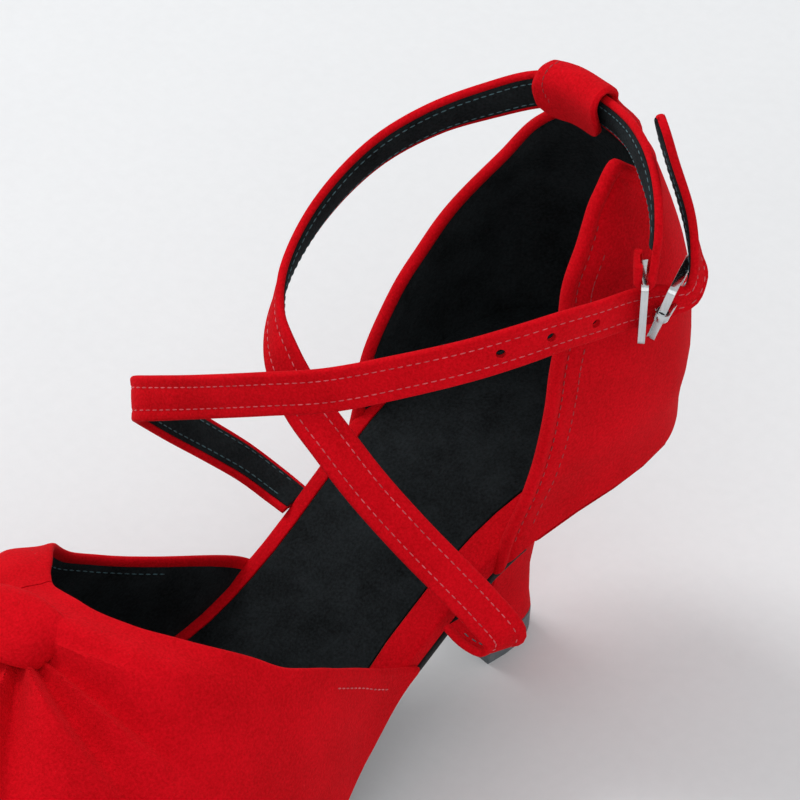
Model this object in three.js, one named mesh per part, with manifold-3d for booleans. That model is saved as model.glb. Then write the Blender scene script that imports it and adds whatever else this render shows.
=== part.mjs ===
// A left heeled court sandal of the Latin dance kind, in millimetres, +Z up.
// Toe towards -Y, heel towards +Y, outer (lateral, buckle) side +X, inner (medial) side -X.
// Stations along the shoe are given as s, the distance from the back of the seat towards the toe (y = -s).
import * as THREE from "three";
import Module from "manifold-3d";

// ---------------------------------------------------------------- driving dimensions
const HEEL_HEIGHT = 56; // foot surface above the ground at the back of the seat
const PLAN_LENGTH = 208; // seat back to toe, measured flat on the ground
const BALL_WIDTH = 73; // widest place of the foot bed
const SEAT_WIDTH = 46.8; // widest place of the heel seat
const STRAP_WIDTH = 8.5;
const STRAP_LAYER = 1.0; // outer strap layer; the lining is a second layer
const STRAP_LINING = 0.7;
const GAP = 0.3; // clearance between two pieces that touch
const SOCK = 0.8; // sock lining on top of the board
const BOARD = 2.0; // insole board
const PACKING = 1.1; // shank, packing and turned-in edges under the board
const OUTSOLE = 1.6;
const SOLE_EDGE = 1.3; // how far the outsole stands out past the foot bed
const SKIN = 0.8; // outer material of the upper
const STIFFENER = 0.8; // counter stiffener inside the heel cup
const LINING = 0.7;
const WRAP = 0.8; // covering of the board edge at the waist
const WRAP_LIP = 3.8; // how far that covering turns over the board, on average
const LIP_MORE = 1.6; // wider by this on the outer side, narrower on the inner side
const SEAT_BACK = 2.5; // station of the back end of the foot bed
const COUNTER_HEIGHT = 54.5; // heel cup above the foot surface at the back
const VAMP_HEIGHT = 62; // arch of the vamp above the foot surface at the throat
const TIP_HEIGHT = 6; // top piece, the part that touches the ground
const TIP_HALF = 7.6; // half the width of the heel at the ground
const TIP_DEPTH = 12.5; // length of the heel at the ground
const TIP_BACK = 29; // set-in of the heel at the ground from the back of the seat
const BREAST = 46; // station of the heel breast under the seat
const HEEL_COVER = 0.8;
const HOLE_RADIUS = 0.9; // punched strap holes
const HOLE_PITCH = 9.2;
const NAIL_RADIUS = 0.9;
const SHANK_HALF = 6;
const SCREW_RADIUS = 2.0;

// ---------------------------------------------------------------- depths below the foot surface
const BOARD_TOP = SOCK + GAP;
const BOARD_BOTTOM = BOARD_TOP + BOARD;
const PACK_TOP = BOARD_BOTTOM + GAP;
const PACK_BOTTOM = PACK_TOP + PACKING;
const SOLE_TOP = PACK_BOTTOM + GAP;
const SOLE_BOTTOM = SOLE_TOP + OUTSOLE; // also the height of the foot surface over the tread

// ---------------------------------------------------------------- smooth tables
// A monotone cubic through [x, y] pairs: it never overshoots, so widths and heights stay as given.
function curve(table) {
  const x = table.map((p) => p[0]);
  const y = table.map((p) => p[1]);
  const n = x.length;
  const h = x.slice(1).map((v, i) => v - x[i]);
  const d = h.map((v, i) => (y[i + 1] - y[i]) / v);
  const m = [d[0]];
  for (let i = 1; i < n - 1; i++) {
    const a = 2 * h[i] + h[i - 1];
    const b = h[i] + 2 * h[i - 1];
    m.push(d[i - 1] * d[i] <= 0 ? 0 : (a + b) / (a / d[i - 1] + b / d[i]));
  }
  m.push(d[n - 2]);
  return (v) => {
    const q = Math.min(Math.max(v, x[0]), x[n - 1]);
    let i = 0;
    while (i < n - 2 && q > x[i + 1]) i++;
    const t = (q - x[i]) / h[i];
    const t2 = t * t;
    const t3 = t2 * t;
    return (
      (2 * t3 - 3 * t2 + 1) * y[i] +
      (t3 - 2 * t2 + t) * h[i] * m[i] +
      (3 * t2 - 2 * t3) * y[i + 1] +
      (t3 - t2) * h[i] * m[i + 1]
    );
  };
}
const mix = (a, b, t) => a + (b - a) * t;
const steps = (a, b, n) => Array.from({ length: n + 1 }, (_, i) => mix(a, b, i / n));

// ---------------------------------------------------------------- the last, as tables
const RISE = (HEEL_HEIGHT - SOLE_BOTTOM) / 49.8; // the pitch below was drawn for a rise of 49.8 mm
const LONG = PLAN_LENGTH / 208;
const PITCH = [
  [-6, 50.1],
  [0, 49.8],
  [15, 49.2],
  [30, 47.8],
  [42, 45.2],
  [51, 41.4],
  [62, 34],
  [75, 24],
  [88, 15],
  [100, 8.8],
  [112, 4.4],
  [125, 1.5],
  [138, 0],
  [162, 0],
  [185, 2.2],
  [212, 8.2],
];
const foot = curve(PITCH.map(([s, z]) => [s * LONG, SOLE_BOTTOM + z * RISE]));
// Half widths of the foot bed: seat part, waist and ball part, each scaled to its own width.
const SEAT_K = SEAT_WIDTH / 46.8;
const BALL_K = BALL_WIDTH / 73;
const halfWidth = (seat, ball) =>
  curve([
    ...seat.map(([s, w]) => [s * LONG, w * SEAT_K]),
    ...ball.map(([s, w]) => [s * LONG, w * BALL_K]),
  ]);
const lateral = halfWidth(
  [
    [2.5, 0],
    [4, 9.5],
    [9, 17.4],
    [17, 21.9],
    [28, 23.4],
    [40, 22.6],
    [51, 21.4],
    [62, 20.6],
    [75, 20.8],
  ],
  [
    [88, 24],
    [100, 29.2],
    [112, 33.8],
    [125, 37],
    [140, 38],
    [156, 36.6],
    [172, 32.2],
    [187, 25.2],
    [198, 17],
    [205.5, 8],
    [208, 0],
  ],
);
const medial = halfWidth(
  [
    [2.5, 0],
    [4, 9.5],
    [9, 17.4],
    [17, 21.8],
    [28, 23.2],
    [40, 22.2],
    [51, 21],
    [62, 19.8],
    [75, 19.2],
  ],
  [
    [88, 19.8],
    [100, 22],
    [112, 26],
    [125, 31],
    [140, 34.8],
    [156, 35.4],
    [172, 32.4],
    [187, 26.4],
    [198, 18],
    [205.5, 9],
    [208, 0],
  ],
);
const BACK = SEAT_BACK * LONG;
const half = (s, side) => (side > 0 ? lateral(s) : medial(s));

// ---------------------------------------------------------------- solids from rings
const V = (x, s, z) => new THREE.Vector3(x, -s, z);

// Turns positions and triangles into a geometry whose faces point out.
function solid(points, faces) {
  let volume = 0;
  for (const [a, b, c] of faces) {
    volume += points[a].dot(new THREE.Vector3().crossVectors(points[b], points[c]));
  }
  const index = volume < 0 ? faces.flatMap(([a, b, c]) => [a, c, b]) : faces.flat();
  const g = new THREE.BufferGeometry().setFromPoints(points);
  g.setIndex(index);
  return g;
}

// The end faces must run the same way round as the sides, so the first side edge is looked up in a cap.
function orient(points, faces, m, n) {
  const sides = faces.slice(0, (n - 1) * m * 2);
  const caps = faces.slice((n - 1) * m * 2);
  const uses = (p, q) =>
    caps.some((t) => [0, 1, 2].some((i) => t[i] === p && t[(i + 1) % 3] === q));
  // Side triangles use the edge 0 -> 1 of the first ring, so the cap must use 1 -> 0.
  const fixed = uses(0, 1) ? caps.map(([a, b, c]) => [a, c, b]) : caps;
  return solid(points, [...sides, ...fixed]);
}

// Joins rings of equal length one to the next and closes both ends. Rings that are not simple strips
// pass their flat section, a list of [u, v] pairs, and the ends are filled from that.
function loft(rings, section = null) {
  const closed = false;
  const m = rings[0].length;
  const n = rings.length;
  const points = rings.flat();
  const faces = [];
  for (let i = 0; i < (closed ? n : n - 1); i++) {
    for (let j = 0; j < m; j++) {
      const a = i * m + j;
      const b = i * m + ((j + 1) % m);
      const c = ((i + 1) % n) * m + ((j + 1) % m);
      const d = ((i + 1) % n) * m + j;
      faces.push([a, b, c], [a, c, d]);
    }
  }
  if (section) {
    const flat = section.map(([u, v]) => new THREE.Vector2(u, v));
    const ccw = !THREE.ShapeUtils.isClockWise(flat);
    for (const [a, b, c] of THREE.ShapeUtils.triangulateShape(flat, [])) {
      const k = (n - 1) * m;
      if (ccw) faces.push([a, c, b], [k + a, k + b, k + c]);
      else faces.push([a, b, c], [k + a, k + c, k + b]);
    }
    return orient(points, faces, m, n);
  }
  if (!closed) {
    for (const [start, flip] of [
      [0, true],
      [(n - 1) * m, false],
    ]) {
      // The cap is a strip between the two long sides of the ring, so thin rings close well.
      for (let j = 0; j < m / 2 - 1; j++) {
        const a = start + j;
        const b = start + j + 1;
        const c = start + ((2 * m - 2 - j) % m);
        const d = start + ((2 * m - 1 - j) % m);
        const two = [
          [a, b, c],
          [a, c, d],
        ].filter((t) => new Set(t).size === 3);
        faces.push(...(flip ? two.map(([p, q, r]) => [p, r, q]) : two));
      }
    }
  }
  return solid(points, faces);
}

// A slab that follows the foot surface between two depths, inset from the outline.
function slab(stations, depthTop, depthBottom, insetLateral, insetMedial) {
  const rings = stations.map((s) => {
    const r = lateral(s) - insetLateral(s);
    const l = -(medial(s) - insetMedial(s));
    const top = foot(s) - depthTop;
    const low = foot(s) - depthBottom;
    return [V(l, s, top), V(r, s, top), V(r, s, low), V(l, s, low)];
  });
  return loft(rings);
}

// Stations that crowd together where an outline rounds off.
const rounded = (a, b, n) =>
  Array.from({ length: n + 1 }, (_, i) => mix(a, b, (1 - Math.cos((Math.PI * i) / n)) / 2));

// ---------------------------------------------------------------- booleans, for fits only
const wasm = await Module();
wasm.setup();
function toManifold(g) {
  const p = g.getAttribute("position");
  return new wasm.Manifold(
    new wasm.Mesh({
      numProp: 3,
      vertProperties: new Float32Array(p.array),
      triVerts: new Uint32Array(g.index.array),
    }),
  );
}
function fromManifold(m) {
  const mesh = m.getMesh();
  const k = mesh.numProp;
  const pos = new Float32Array(mesh.numVert * 3);
  for (let i = 0; i < mesh.numVert; i++) {
    pos.set(mesh.vertProperties.subarray(i * k, i * k + 3), i * 3);
  }
  const g = new THREE.BufferGeometry();
  g.setAttribute("position", new THREE.BufferAttribute(pos, 3));
  g.setIndex(new THREE.BufferAttribute(new Uint32Array(mesh.triVerts), 1));
  return g;
}
const cut = (g, ...tools) =>
  fromManifold(tools.reduce((m, t) => m.subtract(toManifold(t)), toManifold(g)));
const join = (g, ...others) =>
  fromManifold(others.reduce((m, t) => m.add(toManifold(t)), toManifold(g)));

// A round bar from one point to another, with a hemisphere-free flat end.
function bar(a, b, radius, sides = 10, radiusEnd = radius) {
  const axis = b.clone().sub(a).normalize();
  const seed = Math.abs(axis.z) < 0.9 ? new THREE.Vector3(0, 0, 1) : new THREE.Vector3(1, 0, 0);
  const u = new THREE.Vector3().crossVectors(axis, seed).normalize();
  const w = new THREE.Vector3().crossVectors(axis, u);
  const ring = (c, r) =>
    steps(0, 1, sides - 1).map((_, i) => {
      const t = (2 * Math.PI * i) / sides;
      return c
        .clone()
        .addScaledVector(u, r * Math.cos(t))
        .addScaledVector(w, r * Math.sin(t));
    });
  return loft([ring(a, radius), ring(b, radiusEnd)]);
}

// ---------------------------------------------------------------- pieces
const root = new THREE.Group();
root.name = "heeled_sandal_left";
function add(name, geometry, color, roughness = 0.9, metalness = 0) {
  const flat = geometry.index ? geometry.toNonIndexed() : geometry;
  flat.computeVertexNormals();
  const mesh = new THREE.Mesh(
    flat,
    new THREE.MeshStandardMaterial({ color, roughness, metalness }),
  );
  mesh.name = name;
  root.add(mesh);
  return mesh;
}
const RED = 0xb3000e;
const BLACK = 0x17191a;
const BOARD_COLOUR = 0x9a7b55;
const METAL = 0xc9cbcc;

// ---- sole stack
const WAIST_A = 44 * LONG; // the covered board edge runs from inside the heel cup
const WAIST_B = 122 * LONG; // to under the vamp
const RAMP = 2.9 * LONG;
const atWaist = (s) => {
  const rise = Math.min(Math.max((s - WAIST_A + RAMP) / RAMP, 0), 1);
  const fall = Math.min(Math.max((WAIST_B + RAMP - s) / RAMP, 0), 1);
  return Math.min(rise, fall);
};
// Outside the waist the board reaches the upper; ahead of it the board is set in a little.
const boardEdge = (s) => (s < WAIST_A ? -(WRAP + GAP - 0.1) : 0.6) * (1 - atWaist(s));
const lipWidth = (side) => WRAP_LIP + side * LIP_MORE;
const sockEdge = (side) => (s) => mix(-0.2, lipWidth(side) + GAP, atWaist(s));
const STATIONS = [
  ...steps(0, 45, 45).map((i) => i * 5 * LONG),
  WAIST_A,
  WAIST_A - RAMP,
  WAIST_B,
  WAIST_B + RAMP,
].sort((a, b) => a - b);
// Every layer of the sole is bent at the same stations, so the layers stay apart by their gap.
const between = (a, b) => [a, ...STATIONS.filter((s) => s > a + 0.05 && s < b - 0.05), b];
const TOE_ROUND = 172 * LONG;
const bedStations = [
  ...rounded(BACK + 0.5, 50 * LONG - BACK, 12).slice(0, 4),
  ...between(12 * LONG, TOE_ROUND),
  ...rounded(2 * TOE_ROUND - PLAN_LENGTH, PLAN_LENGTH - 0.8, 18).slice(10),
];
// Nails and the screw that hold the heel to the board. A nail never reaches the shank.
const besideShank = (x) => Math.sign(x) * Math.max(Math.abs(x), SHANK_HALF + NAIL_RADIUS + 2 * GAP);
const FIXINGS = [
  ["heel_nail_1", -8, 17, 8],
  ["heel_nail_2", 8, 17, 8],
  ["heel_nail_3", -8.5, 37, 13],
  ["heel_nail_4", 8.5, 37, 13],
].map(([name, x, s, deep]) => [name, besideShank(x * SEAT_K), s * LONG, deep]);
const SCREW_S = 31 * LONG;
const NAIL_HEAD = 2.0;
const SCREW_HEAD = 4.0;
const SCREW_LENGTH = 20;
const vertical = (x, s, top, low, r, sides = 10) => bar(V(x, s, low), V(x, s, top), r, sides);
const fixingBody = (x, s, r, head, length, headDeep) => {
  const top = foot(s + head) - BOARD_TOP - 0.1; // the front rim of the head is the first to show
  return join(
    vertical(x, s, top, top - headDeep, head, 12),
    vertical(x, s, top - headDeep / 2, top - length, r),
  );
};
const fixingHole = (x, s, r, head, length, headDeep) => {
  const top = foot(s + head) - BOARD_TOP + 3;
  return join(
    vertical(x, s, top, top - 3 - headDeep - GAP, head + GAP, 12),
    vertical(x, s, top - 1, top - 3 - length - 1.5, r + GAP),
  );
};
const holes = [
  ...FIXINGS.map(([, x, s, deep]) => fixingHole(x, s, NAIL_RADIUS, NAIL_HEAD, deep, 0.8)),
  fixingHole(0, SCREW_S, SCREW_RADIUS, SCREW_HEAD, SCREW_LENGTH, 1.2),
];

const sock = slab(bedStations, 0, SOCK, sockEdge(1), sockEdge(-1));
const board = slab(bedStations, BOARD_TOP, BOARD_BOTTOM, boardEdge, boardEdge);
add("sock_lining", sock, BLACK, 0.95);
add("insole_board", cut(board, ...holes), BOARD_COLOUR, 0.9);

// Spring steel shank, along the middle of the waist, on a straight-sided strip.
const SHANK_A = 16 * LONG;
const SHANK_B = 118 * LONG;
const shank = slab(
  between(SHANK_A, SHANK_B),
  PACK_TOP,
  PACK_BOTTOM,
  (s) => lateral(s) - SHANK_HALF,
  (s) => medial(s) - SHANK_HALF,
);
add("steel_shank", cut(shank, holes[4]), 0x8d9094, 0.35, 1);

// Seat packing with a slot for the shank, and the forefoot filler ahead of it.
const shankSlot = slab(
  between(SHANK_A - GAP, SHANK_B + GAP),
  PACK_TOP - 2,
  PACK_BOTTOM + 2,
  (s) => lateral(s) - SHANK_HALF - GAP,
  (s) => medial(s) - SHANK_HALF - GAP,
);
const seatPad = slab(
  [...rounded(BACK + 0.5, 50 * LONG - BACK, 12).slice(0, 4), ...between(12 * LONG, WAIST_A - GAP)],
  PACK_TOP,
  PACK_BOTTOM,
  () => -1,
  () => -1,
);
add("heel_seat_packing", cut(seatPad, shankSlot, ...holes), 0x6b5a45, 0.95);
const FILLER_A = 104 * LONG;
const FILLER_END = PLAN_LENGTH - 6;
const filler = slab(
  [
    ...between(FILLER_A, TOE_ROUND),
    ...rounded(2 * TOE_ROUND - FILLER_END, FILLER_END, 12).slice(7),
  ],
  PACK_TOP,
  PACK_BOTTOM,
  (s) => mix(3.5, lipWidth(1) + GAP, atWaist(s)),
  (s) => mix(3.5, lipWidth(1) + GAP, atWaist(s)),
);
add("forefoot_filler", cut(filler, shankSlot), 0x8a6a3f, 0.95);

// Outsole: from the breast to the toe, set in a little so it shows as a thin dark edge.
const SOLE_A = (BREAST + 2.2) * LONG;
const soleStations = [
  ...between(SOLE_A, TOE_ROUND),
  ...rounded(2 * TOE_ROUND - PLAN_LENGTH, PLAN_LENGTH - 0.6, 18).slice(10),
];
const outsole = slab(
  soleStations,
  SOLE_TOP,
  SOLE_BOTTOM,
  () => -SOLE_EDGE,
  () => -SOLE_EDGE,
);
add("outsole", outsole, 0x1b1b1c, 0.95);

// Red covering of the board edge at the waist: a channel folded round the board.
const ROOT_GAP = STRAP_LAYER + STRAP_LINING + 2 * GAP;
function waistWrap(side) {
  const out = GAP + WRAP;
  const lipTop = -BOARD_TOP + out;
  const lip = -lipWidth(side);
  const section = [
    [lip, lipTop],
    [out - 0.5, lipTop],
    [out, lipTop - 0.5],
    [out, -PACK_BOTTOM],
    [lip, -PACK_BOTTOM],
    [lip, -PACK_BOTTOM + WRAP],
    [GAP, -PACK_BOTTOM + WRAP],
    [GAP, -BOARD_TOP + GAP],
    [lip, -BOARD_TOP + GAP],
  ];
  const rings = between(WAIST_A, WAIST_B).map((s) =>
    section.map(([d, h]) => V(side * (half(s, side) + d), s, foot(s) + h)),
  );
  return loft(rings, section);
}
add("waist_wrap_lateral", waistWrap(1), RED);
add("waist_wrap_medial", waistWrap(-1), RED);


// ---- outline of the foot bed, measured along its edge
function outline(side) {
  const pts = Array.from({ length: 401 }, (_, i) => {
    const s = BACK + (i / 400) ** 2 * 130 * LONG;
    return [half(s, side), s];
  });
  const len = [0];
  for (let i = 1; i < pts.length; i++) {
    len.push(len[i - 1] + Math.hypot(pts[i][0] - pts[i - 1][0], pts[i][1] - pts[i - 1][1]));
  }
  const at = (a) => {
    if (a < 0) {
      const [x, s] = at(-a);
      return [-x, s];
    }
    let i = 1;
    while (i < len.length - 1 && len[i] < a) i++;
    const t = (a - len[i - 1]) / (len[i] - len[i - 1]);
    return [mix(pts[i - 1][0], pts[i][0], t), mix(pts[i - 1][1], pts[i][1], t)];
  };
  const arcOf = (s) => {
    let i = 1;
    while (i < pts.length - 1 && pts[i][1] < s) i++;
    return mix(len[i - 1], len[i], (s - pts[i - 1][1]) / (pts[i][1] - pts[i - 1][1]));
  };
  return { at, arcOf };
}
const EDGE = { 1: outline(1), [-1]: outline(-1) };

const EDGE_OFFSET = GAP + WRAP + GAP + SKIN; // the upper stands outside the covered edge

// ---- heel cup: outer surface, as an offset from the edge of the foot bed that changes with height
const SIDE_OFFSET = curve([
  [-6, EDGE_OFFSET],
  [0, EDGE_OFFSET],
  [10, 3.3],
  [25, 2.8],
  [40, -0.8],
  [56, -6],
  [68, -10],
]);
const BACK_OFFSET = curve([
  [-6, EDGE_OFFSET],
  [0, EDGE_OFFSET],
  [12, 3.8],
  [30, 2],
  [56, -6.5],
  [68, -11],
]);
// a: signed distance along the edge from the back centre, lateral side positive.
function cup(a, h, d = 0) {
  const side = a < 0 ? -1 : 1;
  const e = EDGE[side];
  const q = Math.abs(a);
  const [x, s] = e.at(q);
  const [x0, s0] = e.at(q - 2);
  const [x1, s1] = e.at(q + 2);
  const l = Math.hypot(x1 - x0, s1 - s0);
  const nx = (s1 - s0) / l;
  const ns = -(x1 - x0) / l;
  const k = HEEL_SCALE;
  const off = BACK_OFFSET(h / k) * ns * ns + SIDE_OFFSET(h / k) * nx * nx + d;
  return V(side * (x + nx * off), s + ns * off, foot(s) + h);
}
const HEEL_SCALE = COUNTER_HEIGHT / 54.5;
const TOPLINE = {
  1: curve([
    [2.5, 54.5],
    [4, 54.6],
    [9, 55],
    [16, 56.4],
    [18.8, 58.4],
    [22.8, 61.2],
    [30.4, 57.4],
    [35.5, 50.9],
    [39.9, 44.9],
    [42.2, 37.6],
    [44.9, 30.7],
    [46.7, 21.6],
    [48.2, 15.4],
    [50.4, 9.4],
    [53, 2.9],
    [55, -2.2],
  ]),
  [-1]: curve([
    [2.5, 54.5],
    [4, 53.8],
    [8, 51],
    [13, 46.7],
    [18.5, 39.2],
    [27.5, 29.9],
    [33.8, 24.3],
    [39.6, 20.3],
    [44, 15.5],
    [47.5, 11],
    [50, 6],
    [52.5, -2.2],
  ]),
};
const topline = (a) => {
  const side = a < 0 ? -1 : 1;
  const [, s] = EDGE[side].at(Math.abs(a));
  return TOPLINE[side](s / LONG) * HEEL_SCALE;
};
// Columns of the cup, dense at the front edges where the top line falls steeply.
const column = (side, list) => list.map((s) => side * EDGE[side].arcOf(s * LONG));
const CUP_COLUMNS = [
  ...column(-1, [52.2, 51, 49.6, 48, 46, 43, 39, 34, 28, 22, 16, 11.5, 8, 5, 3.2]),
  0,
  ...column(1, [3.2, 5, 8, 11.5, 16, 21, 26, 30, 34, 37.5, 39, 40.5, 41.8, 43, 45, 46.8, 48.4, 50.4, 52.6, 54.6]),
];
const CUP_LIP = SKIN + 2 * GAP + STIFFENER + 0.2;
const ROLL = 1.2; // depth of the turned top edge
const UNDER = 3.6; // the stiffener stays this far below the top line
const FOOT_CLEAR = 0.5; // inner layers stand this far above the foot bed
const SHARES = [0, 0.15, 0.35, 0.55, 0.75, 0.9, 1];
// Heights shared by every layer of the cup, so the layers bend together.
const levels = (top) =>
  top > FOOT_CLEAR + UNDER + 0.7
    ? SHARES.map((v) => mix(FOOT_CLEAR, top - UNDER, v))
    : SHARES.map((v) => mix(-PACK_BOTTOM + 0.4, top - ROLL - 0.1, v));
function cupSkin() {
  const sectionAt = (top) => {
    // The turned edge covers the stiffener; low down at the front there is none to cover.
    const lip = mix(SKIN + 0.05, CUP_LIP, Math.min(Math.max((top - 2) / 4, 0), 1));
    const h = [-PACK_BOTTOM, ...levels(top)];
    return [
      ...h.map((q) => [0, q]),
      [0, top - 0.5],
      [-0.5, top],
      [-lip + 0.25, top],
      [-lip, top - 0.3],
      [-lip, top - ROLL],
      [-SKIN, top - ROLL],
      ...h.reverse().map((q) => [-SKIN, q]),
    ];
  };
  const rings = CUP_COLUMNS.map((a) => sectionAt(topline(a)).map(([d, h]) => cup(a, h, d)));
  return loft(rings, sectionAt(topline(CUP_COLUMNS[0])));
}
// Quads are split corner to corner, so neighbouring faces of two layers must run the same way:
// pass the two depths in the order that does it.
function cupLayer(columns, first, second, extra) {
  const rings = columns.map((a) => {
    const h = [...levels(topline(a)), ...extra(topline(a))];
    return [...h.map((q) => cup(a, q, -first)), ...h.reverse().map((q) => cup(a, q, -second))];
  });
  return loft(rings);
}
const STIFF_OUT = SKIN + GAP;
const STIFF_IN = STIFF_OUT + STIFFENER;
const LINE_OUT = STIFF_IN + GAP;
const LINE_IN = LINE_OUT + LINING;
const tallerThan = (h) => CUP_COLUMNS.filter((a) => topline(a) > h);
add("quarter_outer", cupSkin(), RED);
add("counter_stiffener", cupLayer(tallerThan(9), STIFF_IN, STIFF_OUT, () => []), 0xcbbd9c, 0.8);
const liningTop = (top) => [top - ROLL - GAP];
add("quarter_lining", cupLayer(tallerThan(5), LINE_OUT, LINE_IN, liningTop), BLACK, 0.95);

// ---- heel
const CURVE_STEPS = 8;
const seatRing = (off) => {
  const pts = [];
  for (let i = 0; i <= 2 * CURVE_STEPS; i++) {
    const t = (Math.PI * i) / (2 * CURVE_STEPS);
    const side = i <= CURVE_STEPS ? 1 : -1;
    const s = BACK + (BREAST * LONG - BACK) * (1 - Math.sin(t));
    const a = i === CURVE_STEPS ? 0 : EDGE[side].arcOf(s);
    const [x, q] = EDGE[side].at(a);
    const [x0, s0] = EDGE[side].at(a - 1.5);
    const [x1, s1] = EDGE[side].at(a + 1.5);
    const l = Math.hypot(x1 - x0, s1 - s0);
    const nx = (s1 - s0) / l;
    const ns = -(x1 - x0) / l;
    pts.push([side * (x + nx * off), i === 0 || i === 2 * CURVE_STEPS ? BREAST * LONG : q + ns * off]);
  }
  return pts;
};
const tipRing = (off) =>
  Array.from({ length: 2 * CURVE_STEPS + 1 }, (_, i) => {
    const t = (Math.PI * i) / (2 * CURVE_STEPS);
    const c = Math.cos(t);
    const x = Math.sign(Math.round(c * 1e6)) * (TIP_HALF + off) * Math.abs(c) ** 0.7;
    return [x, TIP_BACK + TIP_DEPTH - (TIP_DEPTH + off) * Math.sin(t) ** 0.8];
  });
const HEEL_BLEND = curve([
  [0, 0],
  [0.12, 0.36],
  [0.26, 0.68],
  [0.42, 0.88],
  [0.62, 1.0],
  [0.82, 1.03],
  [1, 1],
]);
const BLOCK_LOW = TIP_HEIGHT + GAP;
const HEEL_RINGS = [0, 0.06, 0.13, 0.21, 0.31, 0.43, 0.58, 0.75, 0.9, 1];
// Ring of the heel at a height share k (0 at the seat, 1 at the ground end), moved outwards by off.
function heelRing(k, off) {
  const seat = seatRing(off + EDGE_OFFSET - GAP - HEEL_COVER);
  const tip = tipRing(off);
  const b = HEEL_BLEND(k);
  return seat.map(([x, s], i) => {
    const zTop = foot(s) - SOLE_TOP - 0.2;
    const q = [mix(x, tip[i][0], b), mix(s, tip[i][1], b)];
    return V(q[0], q[1], mix(zTop, BLOCK_LOW, k));
  });
}
const blockRings = HEEL_RINGS.map((k) => heelRing(k, 0));
const flatD = tipRing(0);
const block = loft(blockRings, flatD);
const PIN_RADIUS = 1.5;
const PIN_X = 0;
const PIN_S = TIP_BACK + TIP_DEPTH * 0.55;
const pin = (r, low, high) => vertical(PIN_X, PIN_S, high, low, r, 12);
add(
  "heel_block",
  cut(block, ...holes, pin(PIN_RADIUS + GAP, 0, 19)),
  0xd9d4c8,
  0.6,
);
const coverRings = HEEL_RINGS.map((k) => {
  const inner = heelRing(k, GAP);
  const outer = heelRing(k, GAP + HEEL_COVER);
  const front = GAP + HEEL_COVER;
  const ahead = (p) => new THREE.Vector3(p.x, p.y - front, p.z);
  return [
    ahead(outer[0]),
    ...outer,
    ahead(outer[outer.length - 1]),
    ahead(inner[inner.length - 1]),
    ...inner.reverse(),
    ahead(inner[inner.length - 1]),
  ];
});
add("heel_cover", loft(coverRings), RED);
const breastRings = HEEL_RINGS.map((k) => {
  const r = heelRing(k, 0);
  const p = r[0];
  const q = r[r.length - 1];
  const low = 0.9 * (1 - k) ** 4; // its top edge passes under the sloping waist
  const at = (v, dy) => new THREE.Vector3(v.x - Math.sign(v.x) * low * 1.4, v.y - dy, v.z - low);
  return [at(q, GAP), at(p, GAP), at(p, GAP + HEEL_COVER), at(q, GAP + HEEL_COVER)];
});
add("heel_breast_cover", loft(breastRings), 0x1b1b1c, 0.9);
const topPiece = loft(
  [
    [0, 0.6],
    [1.2, 1.0],
    [TIP_HEIGHT, GAP + HEEL_COVER],
  ].map(([z, off]) => {
    const ring = tipRing(off).map(([x, s]) => V(x, s, z));
    const first = ring[0];
    const last = ring[ring.length - 1];
    const front = GAP + HEEL_COVER;
    return [
      new THREE.Vector3(first.x, first.y - front, z),
      ...ring,
      new THREE.Vector3(last.x, last.y - front, z),
    ];
  }),
  [
    [flatD[0][0], flatD[0][1] + 1],
    ...flatD,
    [flatD[flatD.length - 1][0], flatD[flatD.length - 1][1] + 1],
  ],
);
add("top_piece", cut(topPiece, pin(PIN_RADIUS + GAP, 2.2, TIP_HEIGHT + 2)), 0x5f6468, 0.7);
add("top_piece_pin", pin(PIN_RADIUS, 2.5, 18), METAL, 0.3, 1);
for (const [name, x, s, deep] of FIXINGS) {
  add(name, fixingBody(x, s, NAIL_RADIUS, NAIL_HEAD, deep, 0.8), METAL, 0.3, 1);
}
add(
  "heel_screw",
  fixingBody(0, SCREW_S, SCREW_RADIUS, SCREW_HEAD, SCREW_LENGTH, 1.2),
  METAL,
  0.3,
  1,
);


// ---- vamp: an arch over the foot bed, angle 0 at the lateral edge, pi at the medial edge
const ARCH = curve(
  [
    [60, 60],
    [75, 62],
    [90, 62],
    [105, 60],
    [120, 57],
    [135, 53],
    [150, 46.5],
    [165, 39],
    [180, 31],
    [195, 23],
    [208, 14],
  ].map(([s, h]) => [s * LONG, (h * VAMP_HEIGHT) / 62]),
);
const LEAN = 4; // the top of the arch leans to the inner side
function archPoint(t, s) {
  const l = lateral(s) + EDGE_OFFSET;
  const m = medial(s) + EDGE_OFFSET;
  const c = Math.cos(t);
  const sn = Math.max(Math.sin(t), 0);
  const x = (l - m) / 2 + ((l + m) / 2) * Math.sign(c) * Math.abs(c) ** 0.85 - LEAN * sn * sn;
  return V(x, s, foot(s) - PACK_BOTTOM + (ARCH(s) + PACK_BOTTOM) * sn ** 0.8);
}
// The same point moved along the outward normal of the arch.
function arch(t, s, d) {
  const p = archPoint(t, s);
  const e = 0.02;
  const u = archPoint(Math.min(t + e, Math.PI), s).sub(archPoint(Math.max(t - e, 0), s));
  const v = archPoint(t, s + 0.5).sub(archPoint(t, s - 0.5));
  return p.addScaledVector(u.cross(v).normalize(), d);
}
const KNOT_T = 1.74; // angle of the knot, a little to the inner side
const KNOT_S = 146 * LONG;
const OPENING = curve([
  [0, 73],
  [0.04, 76.8],
  [0.12, 81.8],
  [0.2, 86],
  [0.29, 90.5],
  [0.4, 95.7],
  [0.5, 100.2],
  [0.6, 104.8],
  [0.7, 109.2],
  [0.85, 114.2],
  [1.14, 123.5],
  [1.35, 129],
  [1.55, 132],
  [1.7, 132.8],
  [1.8, 131.2],
  [1.9, 128.6],
  [2.2, 122.6],
  [2.46, 117],
  [2.62, 110],
  [2.8, 99.5],
  [3.0, 86],
  [3.1416, 76.5],
]);
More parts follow.
